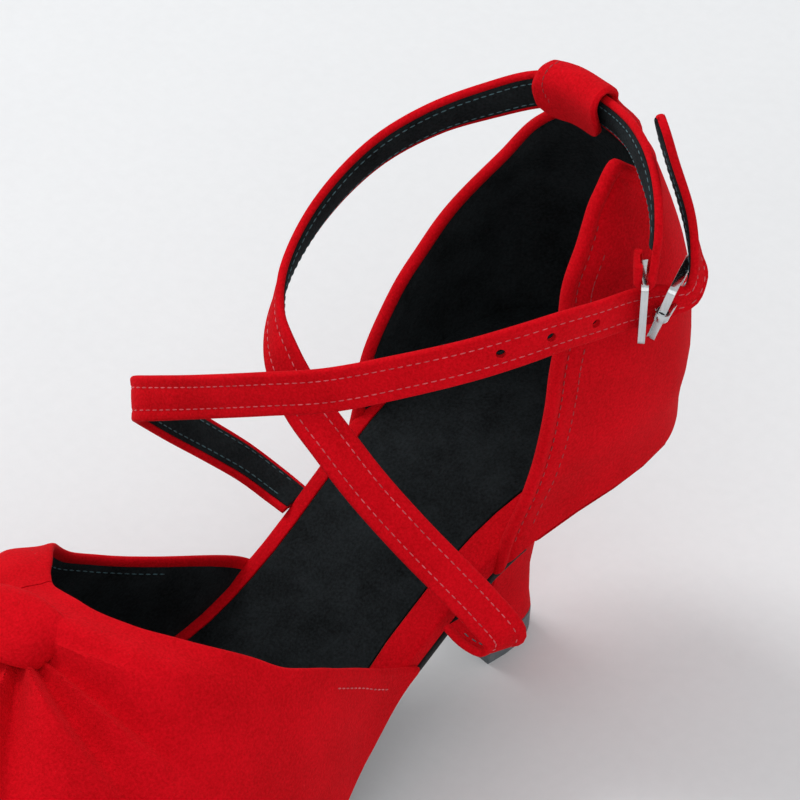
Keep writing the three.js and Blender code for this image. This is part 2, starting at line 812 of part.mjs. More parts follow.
const TOE_EDGE = curve([
  [0, 205],
  [0.4, 201],
  [0.9, 190],
  [1.5708, 184],
  [2.24, 190],
  [2.74, 201],
  [3.1416, 205],
]);
const openingAt = (t) => OPENING(t) * LONG;
const toeAt = (t) => TOE_EDGE(t) * LONG;
// Soft folds of the draped panel, fanning out from the knot; always outwards, so the lining stays clear.
const FOLD_DEPTH = 2.2;
const FOLDS = 5;
function fold(t, s) {
  const reach = Math.min(Math.max((s - KNOT_S + 14) / 30, 0), 1);
  const away = Math.min(Math.max((KNOT_T - t) / 1.5, 0), 1);
  const fade = Math.max(0, 1 - away) * reach * Math.min(Math.max((toeAt(t) - s) / 10, 0), 1);
  return (FOLD_DEPTH * fade * (1 + Math.cos(2 * Math.PI * FOLDS * away))) / 2;
}
function panel(angles, rows, outer, inner, from, to, relief = () => 0, turn = (t) => t, trim = 0) {
  const rings = angles.map((t) => {
    const s = rows.map((v) => mix(from(t), to(t), v));
    s[0] += trim;
    s[s.length - 1] -= trim * (1 + 3 * Math.abs(Math.cos(t)));
    return [
      ...s.map((q) => arch(turn(t, q), q, -outer + relief(t, q))),
      ...s.reverse().map((q) => arch(turn(t, q), q, -inner + relief(t, q))),
    ];
  });
  return loft(rings);
}
const SEAM = 0.012;
const ROWS = steps(0, 1, 11);
const lateralAngles = [0, 0.04, 0.1, 0.2, 0.34, 0.5, 0.68, 0.86, 1.04, 1.2, 1.35, 1.48, 1.6, KNOT_T - SEAM];
const medialAngles = [KNOT_T + SEAM, 1.84, 1.96, 2.12, 2.3, 2.48, 2.64, 2.8, 2.94, 3.04, 3.1, Math.PI];
add(
  "vamp_lateral_drape",
  panel(lateralAngles, ROWS, 0, SKIN, openingAt, toeAt, fold),
  RED,
);
add("vamp_medial_drape", panel(medialAngles, ROWS, 0, SKIN, openingAt, toeAt), RED);
// The lining stands on the foot bed, not outside its edge: its angles start where the arch clears it.
const LINING_RISE = 1.5;
const clearAngle = (s) =>
  Math.asin(((LINING_RISE + PACK_BOTTOM) / (ARCH(s) + PACK_BOTTOM)) ** (1 / 0.8));
const BLEND = 0.34; // above this angle the lining bends exactly with the outer
const lowTurn = (t, s) => (t < BLEND ? mix(clearAngle(s), BLEND, t / BLEND) : t);
const turnLateral = lowTurn;
const turnMedial = (t, s) => Math.PI - lowTurn(Math.PI - t, s);
const VAMP_IN = SKIN + GAP + 0.15;
for (const [name, angles, turn] of [
  ["vamp_lining_lateral", lateralAngles, turnLateral],
  ["vamp_lining_medial", medialAngles, turnMedial],
]) {
  const g = panel(angles, ROWS, VAMP_IN + LINING, VAMP_IN, openingAt, toeAt, () => 0, turn, 1.2);
  add(name, g, BLACK);
}
// Knot band: a folded strip laid across the gather.
const BAND_HALF = 7.5;
const BAND_THICK = 2.4;
function knotBand() {
  const m = 10;
  const flat = Array.from({ length: m }, (_, j) => {
    const q = (2 * Math.PI * j) / m;
    return [Math.cos(q), Math.sin(q)];
  });
  const rings = steps(-1, 1, 12).map((v) => {
    const t = KNOT_T + v * 0.36;
    const squeeze = 1 - 0.35 * v * v;
    const rise = FOLD_DEPTH + GAP + BAND_THICK * squeeze * 0.9;
    const lift = rise - Math.max(0, Math.abs(v) - 0.6) * 1.2;
    return flat.map(([u, w]) =>
      arch(t, KNOT_S - 3 + u * BAND_HALF * squeeze, lift + w * BAND_THICK * squeeze * 0.8),
    );
  });
  return loft(rings, flat);
}
add("vamp_knot_band", knotBand(), RED);

// ---- straps: flat ribbons along a smooth path with a given outward side
// Stations were set on a seat 46.8 wide, 208 long and 56 high; they move with the foot surface under them.
const RISE_AS_SET = (56 - SOLE_BOTTOM) / 49.8;
const footAsSet = curve(PITCH.map(([s, z]) => [s, SOLE_BOTTOM + z * RISE_AS_SET]));
const S = (x, s, z) => V(x * SEAT_K, s * LONG, z + foot(s * LONG) - footAsSet(s));
function ribbonFrame(stations, count) {
  const path = new THREE.CatmullRomCurve3(
    stations.map((q) => q[0]),
    false,
    "centripetal",
  );
  // Normals are taken at the same share of the path as their stations.
  const share = stations.map((q, i) => i / (stations.length - 1));
  const comp = (k) => curve(stations.map((q, i) => [share[i], q[1].getComponent(k)]));
  const [nx, ny, nz] = [comp(0), comp(1), comp(2)];
  return steps(0, 1, count).map((t) => {
    const p = path.getPoint(t);
    const along = path.getTangent(t).normalize();
    const out = new THREE.Vector3(nx(t), ny(t), nz(t));
    out.addScaledVector(along, -out.dot(along)).normalize();
    const across = new THREE.Vector3().crossVectors(along, out).normalize();
    return { p, along, out, across };
  });
}
// first and second are the depths of its two faces; a lining names its far face first, so that the
// faces of the two layers that meet are split the same way.
function ribbon(frames, width, first, second, narrow = () => 1) {
  const rings = frames.map(({ p, out, across }, i) => {
    const w = (width / 2) * narrow(i);
    const at = (u, v) => p.clone().addScaledVector(across, u).addScaledVector(out, v);
    return first < second
      ? [at(-w, first), at(w, first), at(w, second), at(-w, second)]
      : [at(-w, first), at(-w, second), at(w, second), at(w, first)];
  });
  return loft(rings);
}
const N = (x, s, z) => V(x, s, z).normalize();
const LINING_SET = 0.8; // the lining is narrower, so the outer layer shows as an edge
const OUT_LOW = 0.2;
const OUT_HIGH = OUT_LOW + STRAP_LAYER;
const IN_HIGH = -OUT_LOW;
const IN_LOW = IN_HIGH - STRAP_LINING;
// Directions of the buckle: along its side bars, and square to it.
const DEEP = N(0.745, 0.667, 0);
const FLAT = N(0.667, -0.745, 0);
const BUCKLE_AT = S(30.5, 30.5, 97.2);
const BUCKLE_TALL = 13.4;
const BUCKLE_DEEP = 9.2;
const WIRE = 0.65; // half thickness of the buckle bars
const loopBar = BUCKLE_AT.clone().add(new THREE.Vector3(0, 0, BUCKLE_TALL / 2 - WIRE));
const LOOP_R = 0.85; // path of the single strap layer round the top bar
const END_WIDTH = 5.8; // the strap is skived narrower where it goes round the bar
const around = (deg) =>
  loopBar
    .clone()
    .addScaledVector(FLAT, LOOP_R * Math.cos((deg * Math.PI) / 180))
    .add(new THREE.Vector3(0, 0, -LOOP_R * Math.sin((deg * Math.PI) / 180)));
const aroundNormal = (deg) => around(deg).sub(loopBar).normalize();
const rearStations = [
  [S(23.5, 64.6, 35.6), N(0.05, 0.1, -1)],
  [S(27.4, 64.4, 34.4), N(0.1, 0.1, -1)],
  [S(31.5, 63.5, 34), N(0.5, 0.15, -0.85)],
  [S(33.6, 62.8, 37), N(0.95, 0.3, -0.05)],
  [S(30, 65.8, 43.6), N(0.72, 0.5, 0.48)],
  [S(26, 69.2, 49.6), N(0.62, 0.52, 0.58)],
  [S(19, 73.2, 57), N(0.55, 0.52, 0.65)],
  [S(10, 76.4, 64.6), N(0.5, 0.52, 0.69)],
  [S(2, 78, 70.8), N(0.42, 0.55, 0.72)],
  [S(-5, 78.4, 75), N(0.25, 0.65, 0.72)],
  [S(-13, 76.6, 78.8), N(-0.1, 0.82, 0.56)],
  [S(-20, 72.8, 81.4), N(-0.5, 0.82, 0.3)],
  [S(-26, 66, 85), N(-0.8, 0.58, 0.15)],
  [S(-30, 56.8, 89.6), N(-0.94, 0.28, 0.15)],
  [S(-31.2, 47.8, 94.6), N(-0.97, 0.1, 0.15)],
  [S(-30, 39.2, 99.5), N(-0.97, -0.1, 0.15)],
  [S(-26.6, 29.8, 103.6), N(-0.9, -0.35, 0.15)],
  [S(-21.5, 21.6, 106.8), N(-0.75, -0.6, 0.1)],
  [S(-15, 15.6, 110.4), N(-0.35, -0.93, 0.2)],
  [S(-7.6, 14, 113.1), N(-0.1, -0.97, 0.25)],
  [S(1.1, 14.7, 114.6), N(0.15, -0.96, 0.25)],
  [S(8, 16.4, 115.9), N(0.3, -0.93, 0.2)],
  [S(14.6, 19.3, 117.2), N(0.42, -0.9, 0.1)],
  [S(20.7, 22.4, 117), N(0.52, -0.86, 0)],
  [S(26.2, 25.5, 115.5), N(0.62, -0.78, 0)],
  [S(29.8, 28, 112.6), N(0.66, -0.75, 0)],
  [S(31, 29.3, 108.6), N(0.667, -0.745, 0)],
  [around(0).add(new THREE.Vector3(0, 0, 1.2)), aroundNormal(0)],
  [around(30), aroundNormal(30)],
  [around(60), aroundNormal(60)],
  [around(90), aroundNormal(90)],
  [around(120), aroundNormal(120)],
  [around(150), aroundNormal(150)],
  [around(180).add(new THREE.Vector3(0, 0, 1)), aroundNormal(180)],
  [around(180).add(new THREE.Vector3(0, 0, 3.6)), aroundNormal(180)],
];
const REAR_STEPS = 3; // frames between two stations
const rearFrames = ribbonFrame(rearStations, REAR_STEPS * (rearStations.length - 1));
const loopFrom = REAR_STEPS * (rearStations.length - 9);
const rearWidth = (i) => mix(1, END_WIDTH / STRAP_WIDTH, Math.min(Math.max((i - loopFrom + 3) / 3, 0), 1));
add("strap_rear_outer", ribbon(rearFrames, STRAP_WIDTH, OUT_LOW, OUT_HIGH, rearWidth), RED);
add(
  "strap_rear_lining",
  ribbon(rearFrames.slice(0, loopFrom - 1), STRAP_WIDTH - LINING_SET, IN_HIGH, IN_LOW),
  BLACK,
);

const UP = new THREE.Vector3(0, 0, 1);
const FRAME_TALL = 13;
const FRAME_DEPTH = 12;
const FRAME_LEAN = 16; // the frame stands out at the top
const FRAME_WIRE = 0.75;
const FRAME_AT = S(32.2, 25.2, 96.6);
const FRAME_ALONG = N(0.487, 0.873, 0);
const FRAME_OUT = N(0.873, -0.487, 0);
const rad = (deg) => (deg * Math.PI) / 180;
const FRAME_UP = UP.clone()
  .multiplyScalar(Math.cos(rad(FRAME_LEAN)))
  .addScaledVector(FRAME_OUT, Math.sin(rad(FRAME_LEAN)));
// The prong is held by an eye round the front side bar, goes through a hole in the strap and
// rests on the rear side bar.
const PRONG = 0.45;
const FRAME_FACE = new THREE.Vector3().crossVectors(FRAME_ALONG, FRAME_UP).normalize();
if (FRAME_FACE.x < 0) FRAME_FACE.negate();
const frameBar = (side) =>
  FRAME_AT.clone().addScaledVector(FRAME_ALONG, side * (FRAME_DEPTH / 2 - FRAME_WIRE));
const EYE_IN = FRAME_WIRE + GAP;
const EYE_OUT = EYE_IN + 0.5;
const prongFrom = frameBar(1)
  .addScaledVector(FRAME_FACE, EYE_IN + 0.1)
  .addScaledVector(FRAME_ALONG, -0.6);
const prongTo = frameBar(-1)
  .addScaledVector(FRAME_FACE, FRAME_WIRE + PRONG + GAP)
  .addScaledVector(FRAME_ALONG, -1.4);
const prongSlot = bar(prongFrom, prongTo, PRONG + 0.4, 8);

const frontStations = [
  [S(-21, 66.6, 35), N(-0.05, 0.1, -1)],
  [S(-25.2, 67.6, 36.3), N(-0.35, 0.1, -0.93)],
  [S(-30, 71.4, 41), N(-0.6, 0.2, -0.77)],
  [S(-34, 77, 46.7), N(-0.75, 0.3, -0.6)],
  [S(-36.4, 84, 54), N(-0.85, 0.4, -0.35)],
  [S(-36.4, 91, 62), N(-0.8, 0.6, -0.1)],
  [S(-33.6, 94, 66), N(-0.5, 0.86, 0)],
  [S(-28, 93, 69.4), N(-0.1, 0.98, 0.12)],
  [S(-20, 90.4, 73.6), N(0.2, 0.96, 0.15)],
  [S(-7, 86.2, 80.6), N(0.38, 0.9, 0.18)],
  [S(4, 80.4, 85.7), N(0.48, 0.84, 0.2)],
  [S(14, 72.9, 91.4), N(0.6, 0.77, 0.15)],
  [S(22, 63.7, 95.6), N(0.72, 0.66, 0.1)],
  [S(26.8, 55.6, 98.2), N(0.82, 0.53, 0.08)],
  [S(29, 48.6, 99), N(0.9, 0.4, 0.05)],
  [S(30, 40.8, 98.2), N(0.96, 0.2, 0.03)],
  [S(30.2, 34.4, 97.2), N(0.98, 0.05, 0.02)],
  [S(31, 30, 96.7), N(0.92, 0.35, 0)],
  [S(32.6, 26, 96.7), N(0.88, 0.42, 0)],
  [S(34.1, 22.9, 97.1), N(0.92, 0.25, 0)],
  [S(35.1, 20.9, 99.4), N(0.95, 0, -0.2)],
  [S(34.8, 21.2, 103), N(0.85, -0.5, -0.1)],
  [S(31.8, 20.6, 109), N(0.6, -0.8, 0.1)],
  [S(29.2, 20.8, 114), N(0.5, -0.86, 0.1)],
  [S(27, 21.6, 120), N(0.48, -0.87, 0.1)],
  [S(25.5, 22.8, 126), N(0.48, -0.87, 0.1)],
  [S(24.6, 23.8, 131), N(0.48, -0.87, 0.1)],
];
const frontFrames = ribbonFrame(frontStations, 5 * (frontStations.length - 1));
// The strap is pinched where it turns up beyond the buckle.
const BEND = 5 * 20;
const frontWidth = (i) => 1 - 0.3 * Math.max(0, 1 - Math.abs(i - BEND) / 12);
const TAIL = 36; // strap beyond the buckle
// Punched holes, counted back from the buckle.
const frameAt = (frames, mm) => {
  let rest = mm;
  for (let i = frames.length - 1; i > 0; i--) {
    const step = frames[i].p.distanceTo(frames[i - 1].p);
    if (step > rest) {
      const p = frames[i].p.clone().lerp(frames[i - 1].p, rest / step);
      return { ...frames[i], p };
    }
    rest -= step;
  }
  return frames[0];
};
const punches = [0, 1, 2].map((i) => {
  const f = frameAt(frontFrames, TAIL + 20.5 + i * HOLE_PITCH);
  return bar(
    f.p.clone().addScaledVector(f.out, -3),
    f.p.clone().addScaledVector(f.out, 3),
    HOLE_RADIUS,
    10,
  );
});
punches.push(prongSlot);
add("strap_front_outer", cut(ribbon(frontFrames, STRAP_WIDTH, OUT_LOW, OUT_HIGH, frontWidth), ...punches), RED);
add("strap_front_lining", cut(ribbon(frontFrames, STRAP_WIDTH - LINING_SET, IN_HIGH - 0.1, IN_LOW - 0.1, frontWidth), ...punches), BLACK);

// ---- tunnel tab: up the back of the cup, over the rear strap and down inside, in slices across the shoe
const TAB = 1.1;
const TAB_LEFT = -13.6;
const TAB_RIGHT = 3;
// The wall of the cup at a given x, h above its top line and d outside its outer surface.
function wallAt(x, h, d) {
  let low = -30;
  let high = 30;
  for (let i = 0; i < 40; i++) {
    const a = (low + high) / 2;
    if (cup(a, topline(a) + h, d).x < x) low = a;
    else high = a;
  }
  return cup(low, topline(low) + h, d);
}
function strapAt(x) {
  const i = rearFrames.findIndex((f, k) => f.p.z > 100 && rearFrames[k + 1].p.x > x && f.p.x <= x);
  const a = rearFrames[i];
  const b = rearFrames[i + 1];
  const t = (x - a.p.x) / (b.p.x - a.p.x);
  const up = a.across.clone().lerp(b.across, t).normalize();
  return {
    p: a.p.clone().lerp(b.p, t),
    up: up.z > 0 ? up : up.negate(),
    out: a.out.clone().lerp(b.out, t).normalize(),
    along: b.p.clone().sub(a.p).normalize(),
  };
}
function tabSection(x) {
  const { p, up, out, along } = strapAt(x);
  const flat = (v) => [-v.y, v.z];
  const strap = (u, v) => {
    const q = p.clone().addScaledVector(up, u).addScaledVector(out, v);
    return flat(q.addScaledVector(along, (x - q.x) / along.x));
  };
  const wall = (h, d) => flat(wallAt(x, h, d));
  const top = STRAP_WIDTH / 2;
  const line = [
    wall(-9, GAP + 0.1),
    wall(-5, GAP + 0.1),
    wall(-1, GAP + 0.1),
    wall(0.5, GAP),
    strap(1.5, OUT_HIGH + GAP + 0.25),
    strap(top - 0.4, OUT_HIGH + GAP + 0.15),
    strap(top + GAP + 0.2, 0.95),
    strap(top + GAP + 0.2, -0.3),
    strap(top - 0.3, IN_LOW - GAP),
    strap(0, IN_LOW - GAP - 0.1),
    strap(-top - 0.3, IN_LOW - GAP),
    strap(-top - 1.6, IN_LOW - GAP),
  ];
  // The same line moved off by the thickness of the tab.
  const away = line.map(([s, z], i) => {
    const [s0, z0] = line[Math.max(i - 1, 0)];
    const [s1, z1] = line[Math.min(i + 1, line.length - 1)];
    const l = Math.hypot(s1 - s0, z1 - z0);
    return [s - ((z1 - z0) / l) * TAB, z + ((s1 - s0) / l) * TAB];
  });
  return [...line, ...away.reverse()];
}
const tabSlices = steps(TAB_LEFT, TAB_RIGHT, 8);
add(
  "strap_tunnel_tab",
  loft(
    tabSlices.map((x) => tabSection(x).map(([s, z]) => V(x, s, z))),
    tabSection(TAB_LEFT),
  ),
  RED,
);

// ---- buckle: a hook ring held by the end of the rear strap, and the frame with its prong
function ring(at, tallDir, deepDir, tall, deep, wire) {
  const c = [
    [-1, -1],
    [1, -1],
    [1, 1],
    [-1, 1],
  ].map(([u, v]) =>
    at
      .clone()
      .addScaledVector(deepDir, u * (deep / 2 - wire))
      .addScaledVector(tallDir, v * (tall / 2 - wire)),
  );
  const side = (i) => {
    const a = c[i];
    const b = c[(i + 1) % 4];
    const along = b.clone().sub(a).normalize();
    return bar(
      a.clone().addScaledVector(along, -wire * 0.7),
      b.clone().addScaledVector(along, wire * 0.7),
      wire,
      8,
    );
  };
  return join(side(0), side(1), side(2), side(3));
}
add("buckle_hook_ring", ring(BUCKLE_AT, UP, DEEP, BUCKLE_TALL, BUCKLE_DEEP, WIRE), METAL, 0.2, 1);
add(
  "buckle_frame",
  ring(FRAME_AT, FRAME_UP, FRAME_ALONG, FRAME_TALL, FRAME_DEPTH, FRAME_WIRE),
  METAL,
  0.2,
  1,
);

const eye = (radius, half) =>
  bar(
    frameBar(1).addScaledVector(FRAME_UP, -half),
    frameBar(1).addScaledVector(FRAME_UP, half),
    radius,
    12,
  );
add(
  "buckle_prong",
  cut(join(eye(EYE_OUT, 0.8), bar(prongFrom, prongTo, PRONG, 8)), eye(EYE_IN, 2)),
  METAL,
  0.2,
  1,
);

// ---- centre the whole part over the ground
function centre() {
  const box = new THREE.Box3().setFromObject(root);
  const c = box.getCenter(new THREE.Vector3());
  root.position.set(-c.x, -c.y, -box.min.z);
}
centre();
export default root;
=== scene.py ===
"""A left heeled sandal of the court dance kind: red suede lined in black, draped vamp, crossed straps."""

import logging
import math
from dataclasses import dataclass
from enum import Enum
from typing import Callable, Sequence

import bpy
from mathutils import Matrix, Vector

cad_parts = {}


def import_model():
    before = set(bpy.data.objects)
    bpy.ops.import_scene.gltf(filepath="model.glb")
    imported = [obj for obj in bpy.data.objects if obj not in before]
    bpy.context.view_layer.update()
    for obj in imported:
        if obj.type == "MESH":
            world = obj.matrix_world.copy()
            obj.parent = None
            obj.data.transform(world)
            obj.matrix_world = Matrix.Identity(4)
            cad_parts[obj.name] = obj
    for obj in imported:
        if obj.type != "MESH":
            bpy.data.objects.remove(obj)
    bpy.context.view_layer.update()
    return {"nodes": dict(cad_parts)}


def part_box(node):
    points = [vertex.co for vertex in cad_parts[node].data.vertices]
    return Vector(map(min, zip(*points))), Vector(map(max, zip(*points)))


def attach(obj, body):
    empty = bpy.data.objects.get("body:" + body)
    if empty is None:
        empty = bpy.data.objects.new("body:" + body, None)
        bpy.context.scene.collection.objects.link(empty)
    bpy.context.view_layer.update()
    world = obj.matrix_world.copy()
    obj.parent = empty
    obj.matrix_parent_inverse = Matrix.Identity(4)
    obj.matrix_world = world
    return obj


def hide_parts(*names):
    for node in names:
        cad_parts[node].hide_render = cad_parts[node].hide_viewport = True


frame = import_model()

LOG = logging.getLogger("sandal")
MM = 0.001
Pair = tuple[float, float]
Place = Callable[[float, float], Vector]
StitchPath = Callable[[float], tuple[Vector, Vector, Vector]]


# ---------------------------------------------------------------- plain mathematics
def mix(a: float, b: float, t: float) -> float:
    """The value a share t of the way from a to b."""
    return a + (b - a) * t


def clamp(v: float) -> float:
    """v held between 0 and 1."""
    return min(max(v, 0.0), 1.0)


def smooth(v: float) -> float:
    """A soft step from 0 to 1."""
    v = clamp(v)
    return v * v * (3 - 2 * v)


def locate(run: Sequence[float], v: float) -> tuple[int, int, float]:
    """Finds a distance in a rising list: the two marks round it and the share between them."""
    low, high = 0, len(run) - 1
    while high - low > 1:
        middle = (low + high) // 2
        if run[middle] < v:
            low = middle
        else:
            high = middle
    return low, high, (v - run[low]) / (run[high] - run[low])


def curve(table: Sequence[Pair]) -> Callable[[float], float]:
    """A monotone cubic through pairs, held at its ends.

    Args:
        table: Pairs of station and value, in rising order of station.

    Returns:
        The function of the station.
    """
    x = [p[0] for p in table]
    y = [p[1] for p in table]
    n = len(x)
    h = [x[i + 1] - x[i] for i in range(n - 1)]
    d = [(y[i + 1] - y[i]) / h[i] for i in range(n - 1)]
    m = [d[0]]
    for i in range(1, n - 1):
        a = 2 * h[i] + h[i - 1]
        b = h[i] + 2 * h[i - 1]
        m.append(0.0 if d[i - 1] * d[i] <= 0 else (a + b) / (a / d[i - 1] + b / d[i]))
    m.append(d[-1])

    def value(v: float) -> float:
        """The cubic at v."""
        q = min(max(v, x[0]), x[-1])
        i = 0
        while i < n - 2 and q > x[i + 1]:
            i += 1
        t = (q - x[i]) / h[i]
        t2, t3 = t * t, t * t * t
        return (
            (2 * t3 - 3 * t2 + 1) * y[i]
            + (t3 - 2 * t2 + t) * h[i] * m[i]
            + (3 * t2 - 2 * t3) * y[i + 1]
            + (t3 - t2) * h[i] * m[i + 1]
        )

    return value


# ---------------------------------------------------------------- the shoe's own frame
# Positions are worked out in millimetres as x, station s and height z, and set into the model's frame here.
SEAT_START = 3.0
SHIFT_X = (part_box("top_piece")[0].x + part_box("top_piece")[1].x) / 2 / MM
SHIFT_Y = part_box("sock_lining")[1].y / MM + SEAT_START


def V(x: float, s: float, z: float) -> Vector:
    """A point from its side, station and height, still in the shoe's own frame."""
    return Vector((x, -s, z))


def N(x: float, s: float, z: float) -> Vector:
    """A unit direction in the shoe's own frame."""
    return V(x, s, z).normalized()


def world(p: Vector) -> Vector:
    """A point of the shoe's own frame, in metres in the model's frame."""
    return Vector(((p.x + SHIFT_X) * MM, (p.y + SHIFT_Y) * MM, p.z * MM))


@dataclass(frozen=True)
class Last:
    """The foot surface and the outline of the foot bed."""

    pitch: tuple[Pair, ...] = (
        (-6, 50.1), (0, 49.8), (15, 49.2), (30, 47.8), (42, 45.2), (51, 41.4), (62, 34), (75, 24),
        (88, 15), (100, 8.8), (112, 4.4), (125, 1.5), (138, 0), (162, 0), (185, 2.2), (212, 8.2),
    )
    outer: tuple[Pair, ...] = (
        (2.5, 0), (4, 9.5), (9, 17.4), (17, 21.9), (28, 23.4), (40, 22.6), (51, 21.4), (62, 20.6),
        (75, 20.8), (88, 24), (100, 29.2), (112, 33.8), (125, 37), (140, 38), (156, 36.6),
        (172, 32.2), (187, 25.2), (198, 17), (205.5, 8), (208, 0),
    )
    inner: tuple[Pair, ...] = (
        (2.5, 0), (4, 9.5), (9, 17.4), (17, 21.8), (28, 23.2), (40, 22.2), (51, 21), (62, 19.8),
        (75, 19.2), (88, 19.8), (100, 22), (112, 26), (125, 31), (140, 34.8), (156, 35.4),
        (172, 32.4), (187, 26.4), (198, 18), (205.5, 9), (208, 0),
    )
    back: float = 2.5
    tread: float = 6.4
    rise: float = 49.6 / 49.8


LAST = Last()
foot = curve([(s, LAST.tread + z * LAST.rise) for s, z in LAST.pitch])
lateral = curve(LAST.outer)
medial = curve(LAST.inner)


def half(s: float, side: int) -> float:
    """Half width of the foot bed at a station, on one side."""
    return lateral(s) if side > 0 else medial(s)


class Outline:
    """The edge of the foot bed on one side, measured along itself from the back centre."""

    def __init__(self, side: int) -> None:
        """Walks the edge. Args: side: 1 for the outer side, -1 for the inner side."""
        self.points = []
        for i in range(401):
            s = LAST.back + (i / 400) ** 2 * 130
            self.points.append((half(s, side), s))
        self.length = [0.0]
        for a, b in zip(self.points, self.points[1:]):
            self.length.append(self.length[-1] + math.hypot(b[0] - a[0], b[1] - a[1]))

    def at(self, a: float) -> Pair:
        """Side and station at a distance along the edge."""
        if a < 0:
            x, s = self.at(-a)
            return -x, s
        low, high, t = locate(self.length, a)
        p, q = self.points[low], self.points[high]
        return mix(p[0], q[0], t), mix(p[1], q[1], t)

    def arc_of(self, s: float) -> float:
        """Distance along the edge at a station."""
        i = 1
        while i < len(self.points) - 1 and self.points[i][1] < s:
            i += 1
        a, b = self.points[i - 1][1], self.points[i][1]
        return mix(self.length[i - 1], self.length[i], (s - a) / (b - a))


EDGE = {1: Outline(1), -1: Outline(-1)}


# ---------------------------------------------------------------- mesh helpers
def deselect() -> None:
    """Leaves nothing selected."""
    bpy.ops.object.select_all(action="DESELECT")


def pick(obj: bpy.types.Object) -> None:
    """Selects one object and nothing else."""
    deselect()
    bpy.context.view_layer.objects.active = obj
    obj.select_set(True)


def edit(obj: bpy.types.Object) -> None:
    """Opens one object for editing with all of it selected."""
    pick(obj)
    bpy.ops.object.mode_set(mode="EDIT")
    bpy.ops.mesh.select_all(action="SELECT")


def close_edit() -> None:
    """Goes back to object mode."""
    bpy.ops.object.mode_set(mode="OBJECT")


def finish_with(obj: bpy.types.Object, kind: str, **settings: object) -> None:
    """Adds one modifier to an object and applies it.

    Args:
        obj: The object.
        kind: The modifier's type name.
        settings: Its settings.
    """
    pick(obj)
    modifier = obj.modifiers.new(kind.lower(), kind)
    for key, value in settings.items():
        setattr(modifier, key, value)
    bpy.ops.object.modifier_apply(modifier=modifier.name)


def shade(obj: bpy.types.Object, degrees: float = 40) -> None:
    """Smooth shading up to an angle."""
    pick(obj)
    bpy.ops.object.shade_smooth_by_angle(angle=math.radians(degrees))


def shaped(
    name: str, columns: int, rows: int, place: Place, ring: bool = False, ends: bool = True
) -> bpy.types.Object:
    """A grid that is laid on a surface, or rolled into a closed bar.

    Args:
        name: The piece's name.
        columns: Divisions along u.
        rows: Divisions along v.
        place: Gives a point of the shoe's frame for u and v from 0 to 1.
        ring: True when v runs round a closed section, so the seam is merged.
        ends: True to close the two ends of a closed section.

    Returns:
        The new object.
    """
    deselect()
    bpy.ops.mesh.primitive_grid_add(x_subdivisions=columns, y_subdivisions=rows, size=2)
    obj = bpy.context.object
    obj.name = name
    obj.data.name = name
    for v in obj.data.vertices:
        v.co = world(place((v.co.x + 1) / 2, (v.co.y + 1) / 2))
    edit(obj)
    if ring:
        bpy.ops.mesh.remove_doubles(threshold=2e-6)
        if ends:
            bpy.ops.mesh.select_all(action="DESELECT")
            bpy.ops.mesh.select_mode(type="EDGE")
            bpy.ops.mesh.select_non_manifold()
            bpy.ops.mesh.fill_holes(sides=0)
            bpy.ops.mesh.select_mode(type="VERT")
            bpy.ops.mesh.select_all(action="SELECT")
    bpy.ops.mesh.normals_make_consistent(inside=False)
    close_edit()
    shade(obj)
    return obj


def copy_of(node: str, name: str, bevel: float = 0.25, segments: int = 2) -> bpy.types.Object:
    """A softened copy of a CAD node, whose own mesh is left alone.

    Args:
        node: The CAD node.
        name: The new piece's name.
        bevel: Radius of the softened edges, in millimetres.
        segments: Faces across a softened edge.

    Returns:
        The copy, at the node's place.
    """
    source = frame["nodes"][node]
    obj = bpy.data.objects.new(name, source.data.copy())
    obj.data.name = name
    obj.data.materials.clear()
    bpy.context.scene.collection.objects.link(obj)
    edit(obj)
    bpy.ops.mesh.remove_doubles(threshold=1e-6)
    bpy.ops.mesh.normals_make_consistent(inside=False)
    bpy.ops.mesh.tris_convert_to_quads(face_threshold=0.5, shape_threshold=0.9)
    close_edit()
    if bevel:
        finish_with(
            obj, "BEVEL", width=bevel * MM, segments=segments, limit_method="ANGLE",
            angle_limit=math.radians(38), use_clamp_overlap=True,
        )
    shade(obj, 35)
    return obj


# ---------------------------------------------------------------- finishes
def linear(code: str) -> tuple[float, float, float, float]:
    """An sRGB hex colour as linear light with full cover."""
    out = []
    for i in (0, 2, 4):
        c = int(code[i : i + 2], 16) / 255
        out.append(c / 12.92 if c <= 0.04045 else ((c + 0.055) / 1.055) ** 2.4)
    return out[0], out[1], out[2], 1.0


def node(
    tree: bpy.types.NodeTree, kind: str, links: dict[str | int, object] | None = None, **settings: object
) -> bpy.types.Node:
    """Adds a node with its settings, values and links.

    Args:
        tree: The material's tree.
        kind: The node's type name.
        links: Socket name or number to a value or to an output socket.
        settings: Properties of the node itself.

    Returns:
        The node.
    """
    made = tree.nodes.new(kind)
    for key, value in settings.items():
        setattr(made, key, value)
    for key, value in (links or {}).items():
        socket = made.inputs[key]
        if isinstance(value, bpy.types.NodeSocket):
            tree.links.new(value, socket)
        else:
            socket.default_value = value
    return made


class Surface(Enum):
    """How a surface was made, as the stretch of its grain along x, y and z."""

    NAPPED = (1.0, 1.0, 1.0)
    FIBRE = (1.0, 0.25, 1.0)
    BRUSHED = (1.0, 1.0, 0.12)


